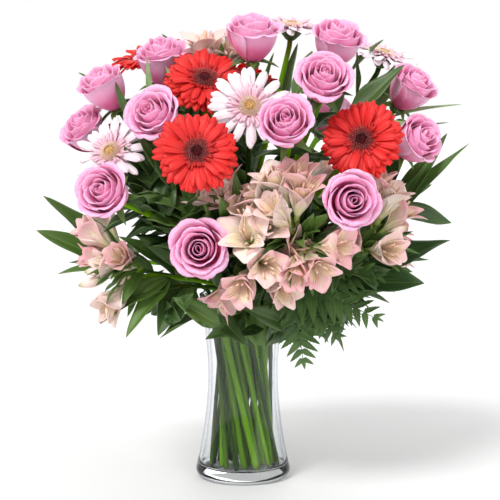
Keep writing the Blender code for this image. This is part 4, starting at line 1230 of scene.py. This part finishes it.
# single leaves that stand out: base and tip in mm, width, droop, twist, tone
accentLeaves = {
    "broad": [
        ((0, -58, 262), (12, -88, 196), 44, 0.0, 0.2, 0.3),
        ((-30, -70, 262), (-62, -105, 236), 30, 0.2, 0.3, 0.5),
        ((88, -75, 266), (142, -95, 222), 44, 0.1, 0.3, 0.6),
        ((-95, -60, 300), (-150, -85, 285), 34, 0.2, 0.3, 0.4),
        ((125, -62, 304), (216, -46, 278), 44, -0.2, 0.2, 0.35)],
    "lance": [
        ((38, 12, 392), (60, 2, 480), 17, 0.0, 0.2, 0.5),
        ((70, 18, 388), (80, 10, 466), 15, 0.1, 0.2, 0.0),
        ((16, 16, 400), (34, 10, 470), 15, 0.0, 0.2, 0.7),
        ((96, 16, 392), (112, 6, 452), 15, 0.1, 0.2, 0.3),
        ((50, -100, 312), (66, -122, 262), 30, -0.2, 0.9, 0.8),
        ((-2, -100, 328), (-14, -128, 356), 22, 0.4, 0.9, 0.9),
        ((32, -100, 262), (20, -128, 300), 24, 0.3, -0.8, 0.8),
        ((108, -60, 392), (168, -62, 458), 25, 0.1, 0.3, 0.3),
        ((118, 0, 448), (152, 0, 486), 18, 0.1, 0.4, 0.5),
        ((122, -22, 418), (122, -24, 472), 14, 0.0, 0.3, 0.4),
        ((128, -55, 388), (182, -52, 384), 16, 0.3, 0.9, 0.7),
        ((-138, -20, 424), (-178, -20, 447), 15, 0.0, 0.3, 0.8),
        ((-118, -72, 398), (-134, -78, 436), 9, 0.1, 0.2, 0.3),
        ((-66, 15, 460), (-88, 12, 492), 12, 0.1, 0.3, 0.7),
        ((-60, -110, 285), (-98, -128, 300), 24, 0.2, 0.4, 0.6),
        ((85, -90, 300), (60, -118, 330), 24, 0.3, 0.5, 0.7),
        ((140, 30, 400), (180, 40, 468), 20, 0.1, 0.4, 0.5),
        ((-40, 60, 440), (-60, 80, 490), 18, 0.1, 0.3, 0.5),
        ((60, 90, 420), (80, 120, 480), 20, 0.1, 0.3, 0.6),
        ((-110, 80, 380), (-160, 110, 420), 22, 0.2, 0.3, 0.5)],
    "grass": [
        ((-92, -92, 396), (-99, -90, 462), 8, 0.0, 0.2, 0.6),
        ((-60, -92, 404), (-80, -90, 452), 9, 0.0, 0.3, 0.5),
        ((150, -10, 396), (238, -8, 424), 9, 0.2, 0.4, 0.6),
        ((120, -60, 392), (190, -60, 398), 10, 0.2, 0.8, 0.8),
        ((150, 0, 380), (226, 0, 398), 7, 0.1, 0.3, 0.4),
        ((100, -100, 232), (118, -112, 270), 5, 0.0, 0.2, 0.5)],
}


def addAccents(name, leaves, material):
    base, tip, width, droop, twist, tone = (np.array(column, float) for column in zip(*leaves))
    base, tip = base / 1000, tip / 1000
    outward = unit((base + tip) / 2 - binding)
    piece = Piece(name)
    length = np.linalg.norm(tip - base, axis=1)
    piece.sheets(fillerGrids(base, tip - base, outward, length, width / 1000, droop, 0.25, 0.1, twist,
                             0.45, 17, 9), 0.0008, tone)
    piece.build(material, "leaf_green")


addAccents("accent_leaves_broad", accentLeaves["broad"], broadMaterial)
addAccents("accent_leaves_lance", accentLeaves["lance"], lanceMaterial)
addAccents("accent_leaves_grass", accentLeaves["grass"], grassMaterial)
print("filling leaves made")


# floor, light and camera

floorMesh = bpy.data.meshes.new("floor")
floorReach = 60.0
corners = [(x * floorReach, y * floorReach, 0) for x, y in ((-1, -1), (1, -1), (1, 1), (-1, 1))]
floorMesh.from_pydata(corners, [], [(0, 1, 2, 3)])
floor = bpy.data.objects.new("floor", floorMesh)
bpy.context.scene.collection.objects.link(floor)
floorMaterial, w, shader = blank("paleFloor")
shader.inputs["Base Color"].default_value = (0.9, 0.9, 0.9, 1)
shader.inputs["Roughness"].default_value = 0.6
floorMesh.materials.append(floorMaterial)

# the studio is white to the camera and a little darker as a light
studioLook = {"shown": 1.0, "lights": 0.5}
world = bpy.data.worlds.new("studio")
bpy.context.scene.world = world
world.use_nodes = True
tree = world.node_tree
back = tree.nodes["Background"]
back.inputs["Color"].default_value = (1, 1, 1, 1)
seen = tree.nodes.new("ShaderNodeLightPath")
blend = tree.nodes.new("ShaderNodeMath")
blend.operation = "MULTIPLY_ADD"
blend.inputs[1].default_value = studioLook["shown"] - studioLook["lights"]
blend.inputs[2].default_value = studioLook["lights"]
tree.links.new(seen.outputs["Is Camera Ray"], blend.inputs[0])
tree.links.new(blend.outputs[0], back.inputs["Strength"])

# large soft lights: azimuth and elevation they come from, strength, apparent size in degrees
lightSetup = {"key": (-32, 46, 2.2, 22), "fill": (50, 30, 0.7, 60), "back": (165, 40, 0.8, 50)}
for name, (azimuth, elevation, strength, size) in lightSetup.items():
    lamp = bpy.data.lights.new(name, "SUN")
    lamp.energy, lamp.angle = strength, np.radians(size)
    holder = bpy.data.objects.new(name, lamp)
    bpy.context.scene.collection.objects.link(holder)
    holder.rotation_euler = Vector(-heading(azimuth, elevation)).to_track_quat("-Z", "Y").to_euler()

# the camera stands in front, a little above the middle of the bouquet, and looks slightly down
cameraLook = {"place": (0, -1.60, 0.40), "pitch": 84.75, "lens": 104.7, "shift": 0.014}
camera = bpy.data.cameras.new("camera")
cameraHolder = bpy.data.objects.new("camera", camera)
bpy.context.scene.collection.objects.link(cameraHolder)
bpy.context.scene.camera = cameraHolder
camera.sensor_width, camera.lens, camera.shift_x = 36, cameraLook["lens"], cameraLook["shift"]
cameraHolder.location = cameraLook["place"]
cameraHolder.rotation_euler = (np.radians(cameraLook["pitch"]), 0, 0)
bpy.context.scene.view_settings.view_transform = "Standard"
